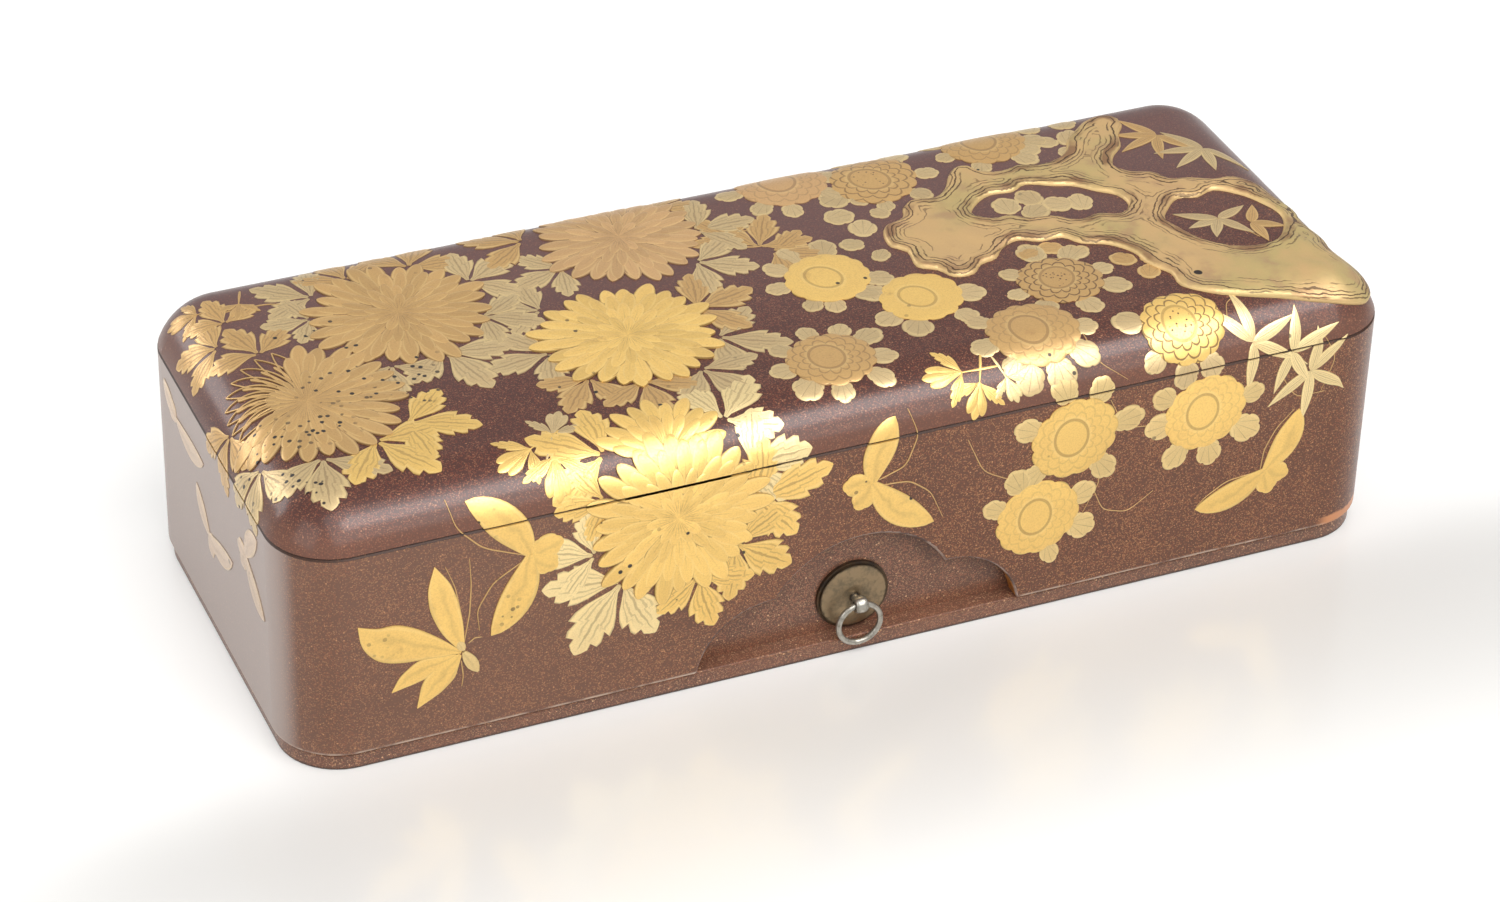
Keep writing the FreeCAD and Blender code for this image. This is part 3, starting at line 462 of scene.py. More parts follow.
def metal(name, base, patina, roughness=0.35, amount=0.5, grain=3.0):
    """Old metal: tarnish in clouds, pitting and fine scratches."""
    p = Paint(name)
    cloud = p.noise(grain, 5, 0.62).rise(0.62 - amount * 0.35, 0.72)
    scratch = p.noise(0.25, 2, stretch=(1, 1, 9))
    p.set(Base_Color=p.mix(cloud, base, patina),
          Metallic=cloud.rise(0, 1, 0.95, 0.6),
          Roughness=cloud * 0.22 + scratch * 0.16 + (roughness - 0.08))
    p.bump(p.noise(0.7, 3) + cloud * 0.4, 0.06, 0.5)
    return p


def plate_bronze():
    """The domed plate, darker round its rim and at the hole in the middle."""
    p = metal("bronze_plate", rgb(152, 132, 104), rgb(106, 94, 74), 0.38, 0.6, 2.4)
    x, y, z = p.split(p.place)
    low, high = (corner.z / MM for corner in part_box("ring_plate_front"))
    reach = (high - low) / 2
    radius = length(x, z - (high + low) / 2) + p.noise(1.2, 3) * 0.5
    darkened = most(radius.rise(reach - 0.2, reach + 0.2), radius.rise(2.0, 1.3))
    veil(p, darkened, rgb(52, 42, 34), 0.75)
    return p.material


def slate_stone():
    """Layered slate, black with ink and smoother in the hollows."""
    p = Paint("slate", Specular_IOR_Level=0.35)
    strata = p.noise(6, 5, 0.6, stretch=(0.5, 1.2, 3.0))
    colour = p.mix(strata.rise(0.3, 0.72), rgb(52, 54, 60), rgb(78, 78, 82))
    x, y, z = p.split(p.place)
    used = z.rise(49.3, 48.3) * p.noise(9, 3).rise(0.25, 0.55)
    p.set(Base_Color=p.mix(used * 0.8, colour, rgb(24, 24, 28)),
          Roughness=used.rise(0, 1, 0.62, 0.38))
    p.bump(p.noise(0.5, 3) + strata * 2.0, 0.08, 0.4)
    return p.material


def ink_cake():
    """Black ink stick with a worn gilt frame line on its top."""
    p = Paint("ink", Roughness=0.36, Coat_Weight=0.4, Coat_Roughness=0.3)
    x, y, z = p.split(p.place)
    low, high = (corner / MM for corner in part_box("ink_stick"))
    off_x, off_y = abs(x - (low.x + high.x) / 2), abs(y - (low.y + high.y) / 2)
    frame_line = most(off_y.band(4.6, 0.35) * off_x.rise(26.2, 25.8),
                      off_x.band(25.9, 0.35) * off_y.rise(4.9, 4.5))
    gilt = frame_line * z.rise(high.z - 0.3, high.z - 0.1) * p.noise(1.5, 3).rise(0.3, 0.5)
    p.set(Base_Color=p.mix(gilt, p.mix(p.noise(4, 4), rgb(22, 21, 24), rgb(44, 42, 44)),
                           rgb(206, 160, 86)),
          Metallic=gilt * 0.8)
    p.bump(p.noise(0.9, 4), 0.1, 0.5)
    return p.material


def bamboo_cane():
    """Bamboo with fibres along it and a dark ring at each joint."""
    p = Paint("bamboo", Roughness=0.42, Coat_Weight=0.25, Coat_Roughness=0.25)
    x, y, z = p.split(p.place)
    fibre = p.noise(0.5, 3, stretch=(0.04, 1.6, 1.6))
    joint = (x + 92.0).math("DIVIDE", 47.0).fract().band(0.5, 0.012)
    colour = p.mix(fibre.rise(0.3, 0.75), rgb(206, 172, 112), rgb(158, 116, 66))
    colour = p.mix(p.noise(18, 3).rise(0.45, 0.75, 0.0, 0.5), colour, rgb(128, 82, 44))
    p.set(Base_Color=p.mix(joint, colour, rgb(84, 54, 30)))
    p.bump(fibre * 0.5 + joint * 2.0, 0.12, 0.6)
    return p.material


def brush_hair():
    """Pale hair that darkens to the tip."""
    p = Paint("hair", Roughness=0.6)
    strands = p.noise(0.28, 3, stretch=(0.03, 1.5, 1.5))
    x, y, z = p.split(p.place)
    p.set(Base_Color=p.mix(strands.rise(0.3, 0.75),
                           p.mix(x.rise(48, 64), rgb(206, 190, 162), rgb(84, 62, 44)),
                           rgb(122, 92, 62)))
    p.bump(strands, 0.2, 0.9)
    return p.material


def steel_blade():
    """Steel brushed along its length, with a few stains."""
    p = Paint("steel", Metallic=1.0)
    brushed = p.noise(0.22, 2, stretch=(0.05, 2.2, 1.0))
    stain = p.noise(6, 5, 0.65).rise(0.55, 0.75)
    p.set(Base_Color=p.mix(stain, rgb(196, 196, 194), rgb(120, 108, 96)),
          Roughness=(brushed + stain) * 0.18 + 0.2)
    p.bump(brushed, 0.03, 0.4)
    return p.material


# Dressing of the solids


def dress(node, *materials):
    mesh = nodes[node].data
    mesh.materials.clear()
    for material in materials:
        mesh.materials.append(material)
    return mesh


def corners_and_middle(face, mesh):
    corners = [mesh.vertices[k].co for k in face.vertices]
    return corners, sum(corners, Vector()) / len(corners)


def skin_depth(point):
    """How far a point lies inside the outline of the box, in millimetres."""
    x, y = abs(point.x) / MM, abs(point.y) / MM
    corner = REACH + 0.2
    across, along = x - (HALF_LENGTH - corner), y - (HALF_WIDTH - corner)
    if across > 0 and along > 0:
        return corner - math.hypot(across, along)
    return corner - max(across, along)


# How deep behind the skin these begin: the inner faces of the case and of the base wall, and
# round the opening the cut faces and the worn rim with its painted highlight, which ends above the case's
# foot.
CASE_INSIDE = 3.8
BASE_INSIDE = 6.5
CUT_FACE = 0.9
WORN_HIGHLIT_RIM = 0.08
RIM_FOOT = 4.9


def lid_slot(face, mesh):
    """1 for a face that looks down or lies behind the lid's shoulder, else 0."""
    middle = corners_and_middle(face, mesh)[1]
    drop = min(max(TOP - middle.z / MM, 0), RISE)
    shoulder = REACH - SHOULDER * math.sin(math.acos(1 - drop / SHOULDER))
    return int(face.normal.z < -0.2 or (drop > 2 and skin_depth(middle) > shoulder + 1))


def case_slot(face, mesh):
    """0 the skin, 1 the inside, 2 the worn rim with its painted highlight and 3 the cut face of the opening.
    """
    corners, middle = corners_and_middle(face, mesh)
    depths = [skin_depth(c) for c in corners]
    if min(depths) > CASE_INSIDE:
        return 1
    if abs(middle.x) / MM < OPENING_HALF_LENGTH and middle.z / MM < OPENING_TOP:
        if max(depths) > CUT_FACE and face.normal.z > -0.999:
            return 3
        if max(depths) > WORN_HIGHLIT_RIM and middle.z / MM > RIM_FOOT:
            return 2
    return int(max(depths) > 2)


def wall_slot(face, mesh):
    """1 for a face on the inner side of the base wall, else 0."""
    return int(skin_depth(corners_and_middle(face, mesh)[1]) > BASE_INSIDE)


def board_slot(face, _):
    """1 for the underside of the base board, 2 for its ledge, 0 for its edge."""
    return 1 if face.normal.z < -0.9 else 2 if face.normal.z > 0.9 else 0


inner = black_lacquer("black_inside")
outer_base = base_coat("nashiji_base", 5)
# Worn rim of the opening: pale patches, partly wear and partly a painted highlight on its edge.
worn_highlit = bare_face("worn_highlit_rim", 0.4, 4, 0.1, rgb(84, 60, 52), rgb(158, 134, 120))
ochre = bare_face("ochre_cut", 0.45, 3, 0.15, rgb(196, 126, 46), rgb(128, 76, 34))
for node, materials, slot in (
        ("lid_shell", (lid_coat(), inner), lid_slot),
        ("case_wall", (case_coat(), inner, worn_highlit, ochre), case_slot),
        ("base_wall", (outer_base, inner), wall_slot),
        # The ledge's copy of the base coat is lifted brighter than the rest: painted light.
        ("base_board", (outer_base, inner, base_coat("nashiji_ledge", 14)), board_slot)):
    mesh = dress(node, *materials)
    for face in mesh.polygons:
        face.material_index = slot(face, mesh)

tray_black = black_lacquer("black_tray", 0.16)
washer = metal("bronze_washer", rgb(92, 74, 56), rgb(44, 36, 30), 0.42, 0.7).material
plate = plate_bronze()
silver = metal("silver_ring", rgb(176, 172, 162), rgb(104, 98, 86), 0.3, 0.55, 1.6).material
copper = metal("copper_dropper", rgb(176, 112, 78), rgb(92, 66, 52), 0.36, 0.55, 5.0).material
cane = bamboo_cane()
for material, *dressed in (
        (inner, "case_floor", "case_rim_liner"),
        (tray_black, "tray_frame", "tray_board", "brush_rest_left", "brush_rest_right"),
        (washer, "ring_washer_front", "ring_washer_back"),
        (plate, "ring_plate_front", "ring_plate_back"),
        (silver, "ring_staple_front", "ring_staple_back", "cord_ring_front", "cord_ring_back"),
        (slate_stone(), "inkstone"),
        (ink_cake(), "ink_stick"),
        (copper, "dropper_body", "dropper_top"),
        (cane, "brush_handle_large", "brush_handle_small", "brush_cap_large", "brush_cap_small"),
        (brush_hair(), "brush_hair_large", "brush_hair_small"),
        (black_lacquer("knife_lacquer", 0.35), "knife_handle"),
        (steel_blade(), "knife_blade")):
    for node in dressed:
        dress(node, material)


# The unrolled skin


def wrap(points):
    """Points u, v, h of the flat sheet, laid on the box, in metres."""
    u, v, h = points.T
    cu, cv = np.clip(u, -CORE_X, CORE_X), np.clip(v, -CORE_Y, CORE_Y)
    du, dv = u - cu, v - cv
    s = np.hypot(du, dv)
    nu, nv = du / np.maximum(s, 1e-9), dv / np.maximum(s, 1e-9)
    turn = np.minimum(s / SHOULDER, TURN)
    out = SHOULDER * np.sin(turn)
    z = TOP - SHOULDER * (1 - np.cos(turn)) - np.maximum(s - ARC, 0)
    lean = np.where(s > ARC, math.pi / 2, turn)
    side, lift = np.sin(lean) * h, np.cos(lean) * h
    return np.column_stack([cu + nu * (out + side), cv + nv * (out + side), z + lift]) * MM


# Each raised piece starts a little under the surface and stands this much above it at its rim.
FOOT = -0.12
LIP = 0.04
CLEAR_OF_OPENING = 0.9
SHARP = math.radians(50)


def touches_opening(points):
    """Whether a piece on the front would hang over the edge of the cusped opening."""
    z = SEAM - (np.abs(points[:, 1]) - CORE_Y - ARC)
    on_front = points[:, 1] < -CORE_Y
    return any((on_front & (np.hypot(points[:, 0] - x, z - height) < radius + CLEAR_OF_OPENING)).any()
               for x, height, radius in OPENING)


def make_piece(name, mesh, material):
    """A piece of the visual model, smooth but for its sharp edges."""
    mesh.polygons.foreach_set("use_smooth", [True] * len(mesh.polygons))
    mesh.set_sharp_from_angle(angle=SHARP)
    mesh.materials.append(material)
    mesh.update()
    piece = bpy.data.objects.new(name, mesh)
    bpy.context.scene.collection.objects.link(piece)
    return piece


class Sheet:
    """Raised pieces of one kind; each is a closed shell drawn on the flat sheet."""

    def __init__(self, name, material):
        self.name = name
        self.material = material
        self.shells = {"lid": [], "case": []}

    def add(self, points, faces, place, tone):
        """Sorts a shell to the lid or the case, cut in two where it crosses the seam."""
        points = np.array(points, float)
        place = np.array(place, float)
        if touches_opening(points):
            return
        away = np.hypot(np.maximum(np.abs(points[:, 0]) - CORE_X, 0),
                        np.maximum(np.abs(points[:, 1]) - CORE_Y, 0))
        shell = (points, faces, place, tone)
        if away.max() < ARC - SEAM_HALF_GAP:
            self.shells["lid"].append(shell)
        elif away.min() > ARC + SEAM_HALF_GAP:
            self.shells["case"].append(shell)
        else:
            for body, sign in (("lid", 1), ("case", -1)):
                part = cut_at_seam(shell, sign)
                if part:
                    self.shells[body].append(part)

    def build(self):
        for body, shells in self.shells.items():
            if not shells:
                continue
            count = 0
            faces = []
            for points, shell_faces, _, _ in shells:
                faces += [tuple(k + count for k in face) for face in shell_faces]
                count += len(points)
            name = f"{body}_{self.name}"
            mesh = bpy.data.meshes.new(name)
            mesh.from_pydata(wrap(np.vstack([s[0] for s in shells])).tolist(), [], faces)
            attribute = mesh.attributes.new("place", "FLOAT_VECTOR", "POINT")
            attribute.data.foreach_set("vector", np.vstack([s[2] for s in shells]).ravel())
            tones = np.vstack([np.tile(s[3], (len(s[0]), 1)) for s in shells])
            attribute = mesh.attributes.new("tone", "FLOAT_COLOR", "POINT")
            attribute.data.foreach_set("color", tones.ravel())
            piece = make_piece(name, mesh, self.material)
            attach(piece, body)


def cut_at_seam(shell, sign):
    """The part of a shell on one side of the seam, closed where it is cut."""
    points, faces, place, tone = shell
    middle = points.mean(0)
    core = np.array([np.clip(middle[0], -CORE_X, CORE_X), np.clip(middle[1], -CORE_Y, CORE_Y)])
    out = middle[:2] - core
    out = out / max(np.hypot(*out), 1e-9)
    mesh = bmesh.new()
    layer = mesh.verts.layers.float_vector.new("place")
    corners = []
    for point, where in zip(points, place):
        corner = mesh.verts.new(point)
        corner[layer] = Vector(where)
        corners.append(corner)
    for face in faces:
        mesh.faces.new([corners[k] for k in face])
    edge = core + out * (ARC - sign * SEAM_HALF_GAP)
    everything = mesh.verts[:] + mesh.edges[:] + mesh.faces[:]
    cut = bmesh.ops.bisect_plane(mesh, geom=everything, dist=1e-6,
                                 plane_co=(*edge, 0), plane_no=(*(out * sign), 0),
                                 clear_outer=True)
    rim = [e for e in cut["geom_cut"] if isinstance(e, bmesh.types.BMEdge)]
    if rim:
        bmesh.ops.holes_fill(mesh, edges=rim, sides=0)
    bmesh.ops.triangulate(mesh, faces=[f for f in mesh.faces if len(f.verts) > 4])
    if not mesh.faces:
        mesh.free()
        return None
    mesh.verts.index_update()
    part = (np.array([v.co for v in mesh.verts]),
            [tuple(v.index for v in f.verts) for f in mesh.faces],
            np.array([v[layer] for v in mesh.verts]), tone)
    mesh.free()
    return part


petals = Sheet("petals", gold_relief("gold_petals", petal_lines))
leaves = Sheet("leaves", gold_relief("gold_leaves", leaf_lines))
blooms = Sheet("blooms", gold_relief("gold_blooms", bloom_lines))
round_leaves = Sheet("round_leaves", gold_relief("gold_round_leaves", round_leaf_lines))
wings = Sheet("wings", gold_relief("gold_wings", wing_lines))
rock = Sheet("rock", rock_gold())


def directions(spine):
    """Unit vectors along a spine, and to its left."""
    ahead = np.gradient(spine, axis=0)
    ahead /= np.maximum(np.hypot(*ahead.T), 1e-9)[:, None]
    return ahead, np.column_stack([-ahead[:, 1], ahead[:, 0]])


def resample(points, shares):
    """Points at the given shares of the way along a line of evenly counted points."""
    points = np.array(points, float)
    knots = np.linspace(0, 1, len(points))
    return np.column_stack([np.interp(shares, knots, column) for column in points.T])


def relax(values):
    """Rounds the corners of a line, with both ends kept in place."""
    for _ in range(3):
        values[1:-1] = (values[:-2] + 2 * values[1:-1] + values[2:]) / 4
    return values


def strip(sheet, spine, widths, base, crown, tone, furrow=0.0, shares=None, sweep=0.0):
    """A raised band along a spine of flat points, domed across, closed at both ends."""
    spine = np.array(spine, float)
    count = len(spine)
    ahead, side = directions(spine)
    across = (-1.0, -0.62, 0.0, 0.62, 1.0)
    dome = (0.0, 0.8, 1.0 - furrow, 0.8, 0.0)
    points, place = [], []
    for k, along in enumerate(shares or [k / (count - 1) for k in range(count)]):
        w = widths[k]
        lean = w * sweep * (1 - along ** 4)
        swell = min(1.0, w / max(max(widths), 1e-6) * 1.6)
        section = [(-1.0, FOOT), (1.0, FOOT)]
        section += [(c, base + LIP + crown * d * swell) for c, d in zip(across, dome)]
        for c, lift in section:
            points.append((*(spine[k] + side[k] * w * c + ahead[k] * lean * abs(c)), lift))
            place.append((along, c, 0.0))
    faces = []
    ring = (0, 1, 6, 5, 4, 3, 2)
    size = len(ring)
    for k in range(count - 1):
        a, b = size * k, size * (k + 1)
        for m in range(size):
            i, j = ring[m], ring[(m + 1) % size]
            faces.append((a + i, b + i, b + j, a + j))
    faces.append(ring)
    faces.append(tuple(size * (count - 1) + i for i in reversed(ring)))
    sheet.add(points, faces, place, tone)


def disc(sheet, centre, outline, base, rings, tone, turn=0.0, strength=0.0, flat=1.0):
    """A raised round piece: outline is a radius for each of a list of angles."""
    count = len(outline)
    angles = [2 * math.pi * k / count for k in range(count)]
    largest = max(outline)
    cu, cv = centre
    ct, st = math.cos(turn), math.sin(turn)
    points, place = [], []
    for share, height in [(1.0, FOOT)] + [(share, base + LIP + lift) for share, lift in rings]:
        for radius, angle in zip(outline, angles):
            r = radius * share
            x, y = r * math.cos(angle), r * flat * math.sin(angle)
            points.append((cu + x * ct - y * st, cv + x * st + y * ct, height))
            r = r / largest
            place.append((r * math.cos(angle), r * math.sin(angle), strength))
    points += [(cu, cv, base + LIP + rings[-1][1]), (cu, cv, FOOT)]
    place += [(0, 0, strength)] * 2
    crown, under = len(points) - 2, len(points) - 1
    last = len(rings) * count
    faces = []
    for a in range(0, last, count):
        b = a + count
        for k in range(count):
            n = (k + 1) % count
            faces.append((a + k, a + n, b + n, b + k))
    for k in range(count):
        n = (k + 1) % count
        faces.append((last + k, last + n, crown))
        faces.append((n, k, under))
    sheet.add(points, faces, place, tone)


def shade(name, spread=0.05):
    change = 1 + dice.uniform(-spread, spread)
    return (*(c * change for c in GOLDS[name][:3]), 1.0)


def polar(centre, angle, reach):
    return (centre[0] + reach * math.cos(angle), centre[1] + reach * math.sin(angle))


def bend(start, angle, reach, curve, count):
    """Points along a gently curved line."""
    points = [start]
    for k in range(1, count):
        heading = angle + curve * (k / (count - 1) - 0.5)
        points.append(polar(points[-1], heading, reach / (count - 1)))
    return points


# Motifs

# How many pieces have asked for a lift so far.
drawn = [0]


def next_base():
    """A small lift that differs from piece to piece, so that none lies in another's plane."""
    drawn[0] += 1
    return 0.012 * (drawn[0] % 9)


PETAL_SHARES = (0, 0.15, 0.32, 0.5, 0.66, 0.78)
PETAL_TIP_STEPS = 8


def petal(root, angle, reach, width, base, tone, curve=0.0):
    """A petal that widens, then narrows to a blunt point."""
    tip = min(2.3 * width / reach, 0.42)
    shares = [share for share in PETAL_SHARES if share < 1 - tip - 0.03]
    widths = [0.14 + 0.86 * (share / (1 - tip)) ** 1.15 for share in shares]
    for k in range(PETAL_TIP_STEPS):
        turn = math.pi / 2 * k / (PETAL_TIP_STEPS - 1)
        shares.append(1 - tip + tip * math.sin(turn))
        widths.append(max(math.cos(turn) ** 1.1, 0.05))
    path = resample(bend(root, angle, reach, curve, 21), shares)
    strip(petals, path, [w * width for w in widths], base, 0.15, tone, 0.22, shares)


def outlined_petal(root, angle, reach, width, tone, curve):
    """A petal drawn by its rim alone, so that the ground shows inside."""
    last = 15
    spine = np.array(bend(root, angle, reach, curve, last + 1))
    side = directions(spine)[1]
    swell = np.array([width * math.sin(math.pi * min(k / last, 0.999) ** 1.3) ** 0.8
                      for k in range(last + 1)])[:, None]
    for edge in (spine + side * swell, spine - side * swell):
        thread(edge, 0.3, tone, 0.2, petals)


def chrysanthemum(centre, radius, tone, base, tiers=((25, 1.0), (24, 0.84), (20, 0.6), (13, 0.36)),
                  first=0.0, whole=2 * math.pi):
    """Many-petalled bloom seen from above; tiers are (petals, reach)."""
    for tier, (count, reach) in enumerate(tiers):
        for k in range(count):
            angle = first + whole * (k + 0.5 * (tier % 2) + dice.uniform(-0.16, 0.16)) / count
            size = radius * reach * dice.uniform(0.9, 1.07)
            width = radius * reach * (whole / count) * dice.uniform(0.4, 0.46)
            petal(centre, angle, size, width, base + tier * 0.07 + dice.uniform(0, 0.02),
                  shade(tone, 0.1), dice.uniform(-0.14, 0.14))


# Share of the way along a lobe and its width there, with two teeth to a side.
LOBE_EDGE = ((0, 0.1), (0.08, 0.16), (0.16, 0.4), (0.26, 0.74), (0.36, 0.94), (0.48, 1.0), (0.51, 0.68),
             (0.64, 0.8), (0.74, 0.72), (0.77, 0.4), (0.87, 0.42), (0.95, 0.24), (1, 0.04))


def lobe(root, angle, reach, width, base, tone):
    """One lobe of a leaf, its teeth swept forward."""
    shares = [share for share, _ in LOBE_EDGE]
    path = resample(bend(root, angle, reach, dice.uniform(-0.25, 0.25), 21), shares)
    strip(leaves, path, [max(w * width, 0.05) for _, w in LOBE_EDGE], base, 0.1, tone, 0.25,
          shares, sweep=0.55)


def leaf(root, angle, size, tone):
    """Chrysanthemum leaf: three separate toothed lobes that fan out of the root."""
    base = next_base()
    colour = shade(tone)
    for off, reach, wide in ((-1.12, 0.88, 0.27), (1.12, 0.88, 0.27), (0.0, 1.0, 0.3)):
        lobe(polar(root, angle + off, size * 0.04), angle + off + dice.uniform(-0.08, 0.08),
             size * reach * dice.uniform(0.92, 1.05), size * wide, base + dice.uniform(0, 0.012), colour)


def scalloped(count, scallops, depth, power, wobble, phase, times):
    """Radii round a rim with shallow notches, a little out of round."""
    turns = [2 * math.pi * k / count for k in range(count)]
    return [1 - depth + depth * abs(math.cos(scallops * turn)) ** power
            + wobble * math.sin(times * turn + phase) for turn in turns]


def round_leaf(centre, angle, size, tone="green"):
    """Small leaf with a few shallow notches."""
    outline = scalloped(40, dice.choice((2.0, 2.5, 2.5, 3.0)), 0.14, 0.5, 0.05, angle * 5, 1)
    disc(round_leaves, centre, [size * r for r in outline], next_base() * 0.5,
         [(1.0, 0.0), (0.9, 0.08), (0.6, 0.12), (0.3, 0.12)], shade(tone, 0.09), angle,
         flat=dice.uniform(0.78, 0.95))


def button(centre, radius, tone, base, strength, leaves_at, turn, leaf_tone):
    """Round bloom with a scalloped rim, ringed by small round leaves."""
    for angle in leaves_at:
        size = dice.uniform(2.7, 4.0)
        angle += dice.uniform(-0.14, 0.14)
        foot = polar(centre, angle, radius * 0.95 + size * dice.uniform(0.4, 0.8))
        round_leaf(foot, angle, size, leaf_tone)
    outline = scalloped(98, dice.choice((6.5, 7, 7.5)), 0.08, 0.6, 0.025, turn, 2)
    rings = [(1.0, 0.0), (0.95, 0.13), (0.8, 0.2), (0.6, 0.24), (0.4, 0.27), (0.2, 0.29)]
    disc(blooms, centre, [radius * r for r in outline], base, rings, shade(tone), turn, strength, 0.94)


def thread(points, half, tone, base=0.02, sheet=wings):
    """A thin raised line."""
    spine = relax(resample(points, np.linspace(0, 1, 6 * len(points))))
    widths = [half * (0.5 + 0.5 * math.sin(math.pi * min(k / (len(spine) - 1) + 0.12, 1)))
              for k in range(len(spine))]
    strip(sheet, spine, widths, base, 0.05, tone)


def bamboo_spray(root, angles, reach, tone):
    """Slim leaves that fan out of one point, at angles in degrees."""
    count = 12
    widths = [max(1.4 * math.sin(math.pi * (k / (count - 1)) ** 0.7) ** 0.9, 0.05)
              for k in range(count)]
    for angle in angles:
        size = 0.84 * reach * dice.uniform(0.85, 1.1)
        spine = bend(root, math.radians(angle), size, dice.uniform(-0.25, 0.25), count)
        strip(leaves, spine, widths, next_base(), 0.12, shade(tone), 0.3)


def wing(points, widths, base):
    """A wing along a smooth spine through a few points, each with its half width."""
    line = resample([(*point, width) for point, width in zip(points, widths)], np.linspace(0, 1, 22))
    relax(line)
    strip(wings, line[:, :2], list(line[:, 2]), base, 0.18, shade("yellow"), 0.1)


def butterfly(apex, tips, hind, tone="yellow", feelers=(), width=3.4):
    """Two long fore wings that meet at the body, and two short hind wings."""
    base = next_base()
    middle = np.mean(tips, axis=0)
    for k, root_angle in enumerate(math.radians(degrees) for degrees in hind):
        outline = [width * r for r in scalloped(64, 2.5, 0.14, 0.5, 0, 0, 1)]
        disc(wings, polar(apex, root_angle, width * 0.95), outline, base + 0.01 * k,
             [(1.0, 0.0), (0.88, 0.1), (0.5, 0.14)], shade(tone), root_angle, flat=0.8)
    count = 14
    widths = [max(width * math.sin(math.pi * min(0.05 + 0.95 * k / (count - 1), 0.999) ** 1.1) ** 0.7, 0.06)
              for k in range(count)]
    for k, tip in enumerate(tips):
        line = np.array(tip) - np.array(apex)
        away = np.array(apex) - middle
        curve = -0.7 if line[0] * away[1] - line[1] * away[0] > 0 else 0.7
        spine = bend(apex, math.atan2(line[1], line[0]), float(np.hypot(*line)) * 1.03, curve, count)
        strip(wings, spine, widths, base + 0.05 + 0.02 * k, 0.18, shade(tone), 0.1)
    for points in feelers:
        thread(points, 0.14, shade("tan"), base)


# Leaves under the large blooms

LEAVES = [
    # u and v of the root, angle in degrees, size, tone
    (-117, 20, 150, 13, "tan"), (-110, 13, 105, 14, "tan"), (-113, 27, 95, 11, "tan"),
    (-124, -6, 200, 14, "tan"), (-122, -22, 220, 15, "green"), (-110, -28, 262, 17, "green"),
    (-98, -26, 300, 18, "yellow"), (-90, -22, 335, 16, "yellow"),
    (-93, 30, 140, 15, "green"), (-96, 22, 175, 12, "green"), (-84, 34, 100, 13, "tan"),
    (-70, 34, 60, 15, "tan"), (-60, 24, 25, 15, "green"), (-62, 10, 330, 14, "green"),
    (-74, 0, 285, 17, "green"), (-86, -1, 262, 13, "green"),
    (-44, 35, 150, 15, "tan"), (-40, 22, 195, 13, "green"), (-50, 8, 155, 13, "green"),
    (-54, -8, 190, 15, "green"), (-50, -20, 232, 14, "tan"), (-40, -25, 268, 14, "tan"),
    (-12, 38, 50, 13, "tan"), (-7, 26, 5, 15, "green"), (-12, 14, 330, 15, "green"),
    (-19, -3, 10, 16, "tan"), (-19, -15, 335, 16, "green"), (-27, -25, 300, 15, "green"),
    (-29, -42, 50, 16, "pale"), (-56, -44, 150, 17, "yellow"), (-58, -53, 185, 12, "yellow"),
    (-26, -53, 10, 15, "pale"), (-25, -61, 15, 18, "yellow"), (-29, -71, 330, 17, "yellow"),
    (-37, -77, 282, 15, "yellow"), (-54, -74, 235, 20, "pale"), (-60, -66, 165, 14, "pale"),
    (3, 15, 60, 14, "tan"), (5, 12, 330, 13, "tan"), (-1, 21, 120, 11, "tan"),
]
for u, v, angle, size, tone in LEAVES:
    leaf((u, v), math.radians(angle), 0.92 * size, tone)

thread([(-8, 19), (-3, 17), (3, 15), (9, 16)], 0.3, shade("tan"))
thread([(-15, 41), (-8, 33), (-4, 27), (3, 22)], 0.3, shade("tan"))
thread([(-112, 31), (-102, 31), (-96, 27)], 0.25, shade("tan"))

# Leaf and bud sprays near the front shoulder


def bud_spray(root, angle, size, tone):
    """A closed bud on its stalk with two slim leaves, at an angle in degrees."""
    a = math.radians(angle)
    thread([polar(root, a, -size * 0.9), root], 0.28, shade(tone))
    for off in (-0.24, 0.24, 0.0):
        petal(root, a + off, size * (1 - abs(off) * 0.5), size * 0.15, next_base(), shade(tone, 0.1))
    for off in (-0.95, 1.05):
        lobe(root, a + off, size * 0.9, size * 0.17, next_base(), shade(tone))


for root, angle, size, tone in (
        ((-70, -39), 205, 9, "yellow"), ((-66, -42), 262, 10, "yellow"), ((-64, -36), 60, 8, "green"),
        ((24, -43), 178, 9, "yellow"), ((27, -46), 248, 8, "yellow"), ((33, -46), 285, 6, "pale"),
        ((-117, 34), 160, 8, "tan"), ((-108, 33), 250, 6, "tan")):
    bud_spray(root, angle, size, tone)

# Large blooms

chrysanthemum((-24, 29), 19, "rosy", 0.16)
chrysanthemum((-78, 17.5), 20, "tan", 0.20)
chrysanthemum((-106.5, -7.5), 21, "tan", 0.22, ((19, 1.0), (18, 0.82), (16, 0.6)), math.radians(-160),
              math.radians(250))
chrysanthemum((-106.5, -7.5), 21, "tan", 0.2, ((9, 0.4), (7, 0.3)), math.radians(90),
              math.radians(110))
for k in range(9):
    outlined_petal((-106.5, -7.5), math.radians(92 + 12 * k), 20 - 0.4 * k, 1.9, shade("tan"), 0.55)
    petal((-106.5, -7.5), math.radians(86 + 12 * k), 15, 0.4, 0.2, shade("tan"), 0.6)
chrysanthemum((-36.5, -8), 20, "yellow", 0.30)
chrysanthemum((-43, -47), 15, "yellow", 0.12, ((10, 1.0), (9, 0.72)), math.radians(10),
              math.radians(160))
chrysanthemum((-42, -61), 20, "yellow", 0.30)

# Round blooms with small round leaves


def fan(first, last, count):
    """Evenly spread angles, given in degrees."""
    return [math.radians(first + (last - first) * k / max(count - 1, 1)) for k in range(count)]


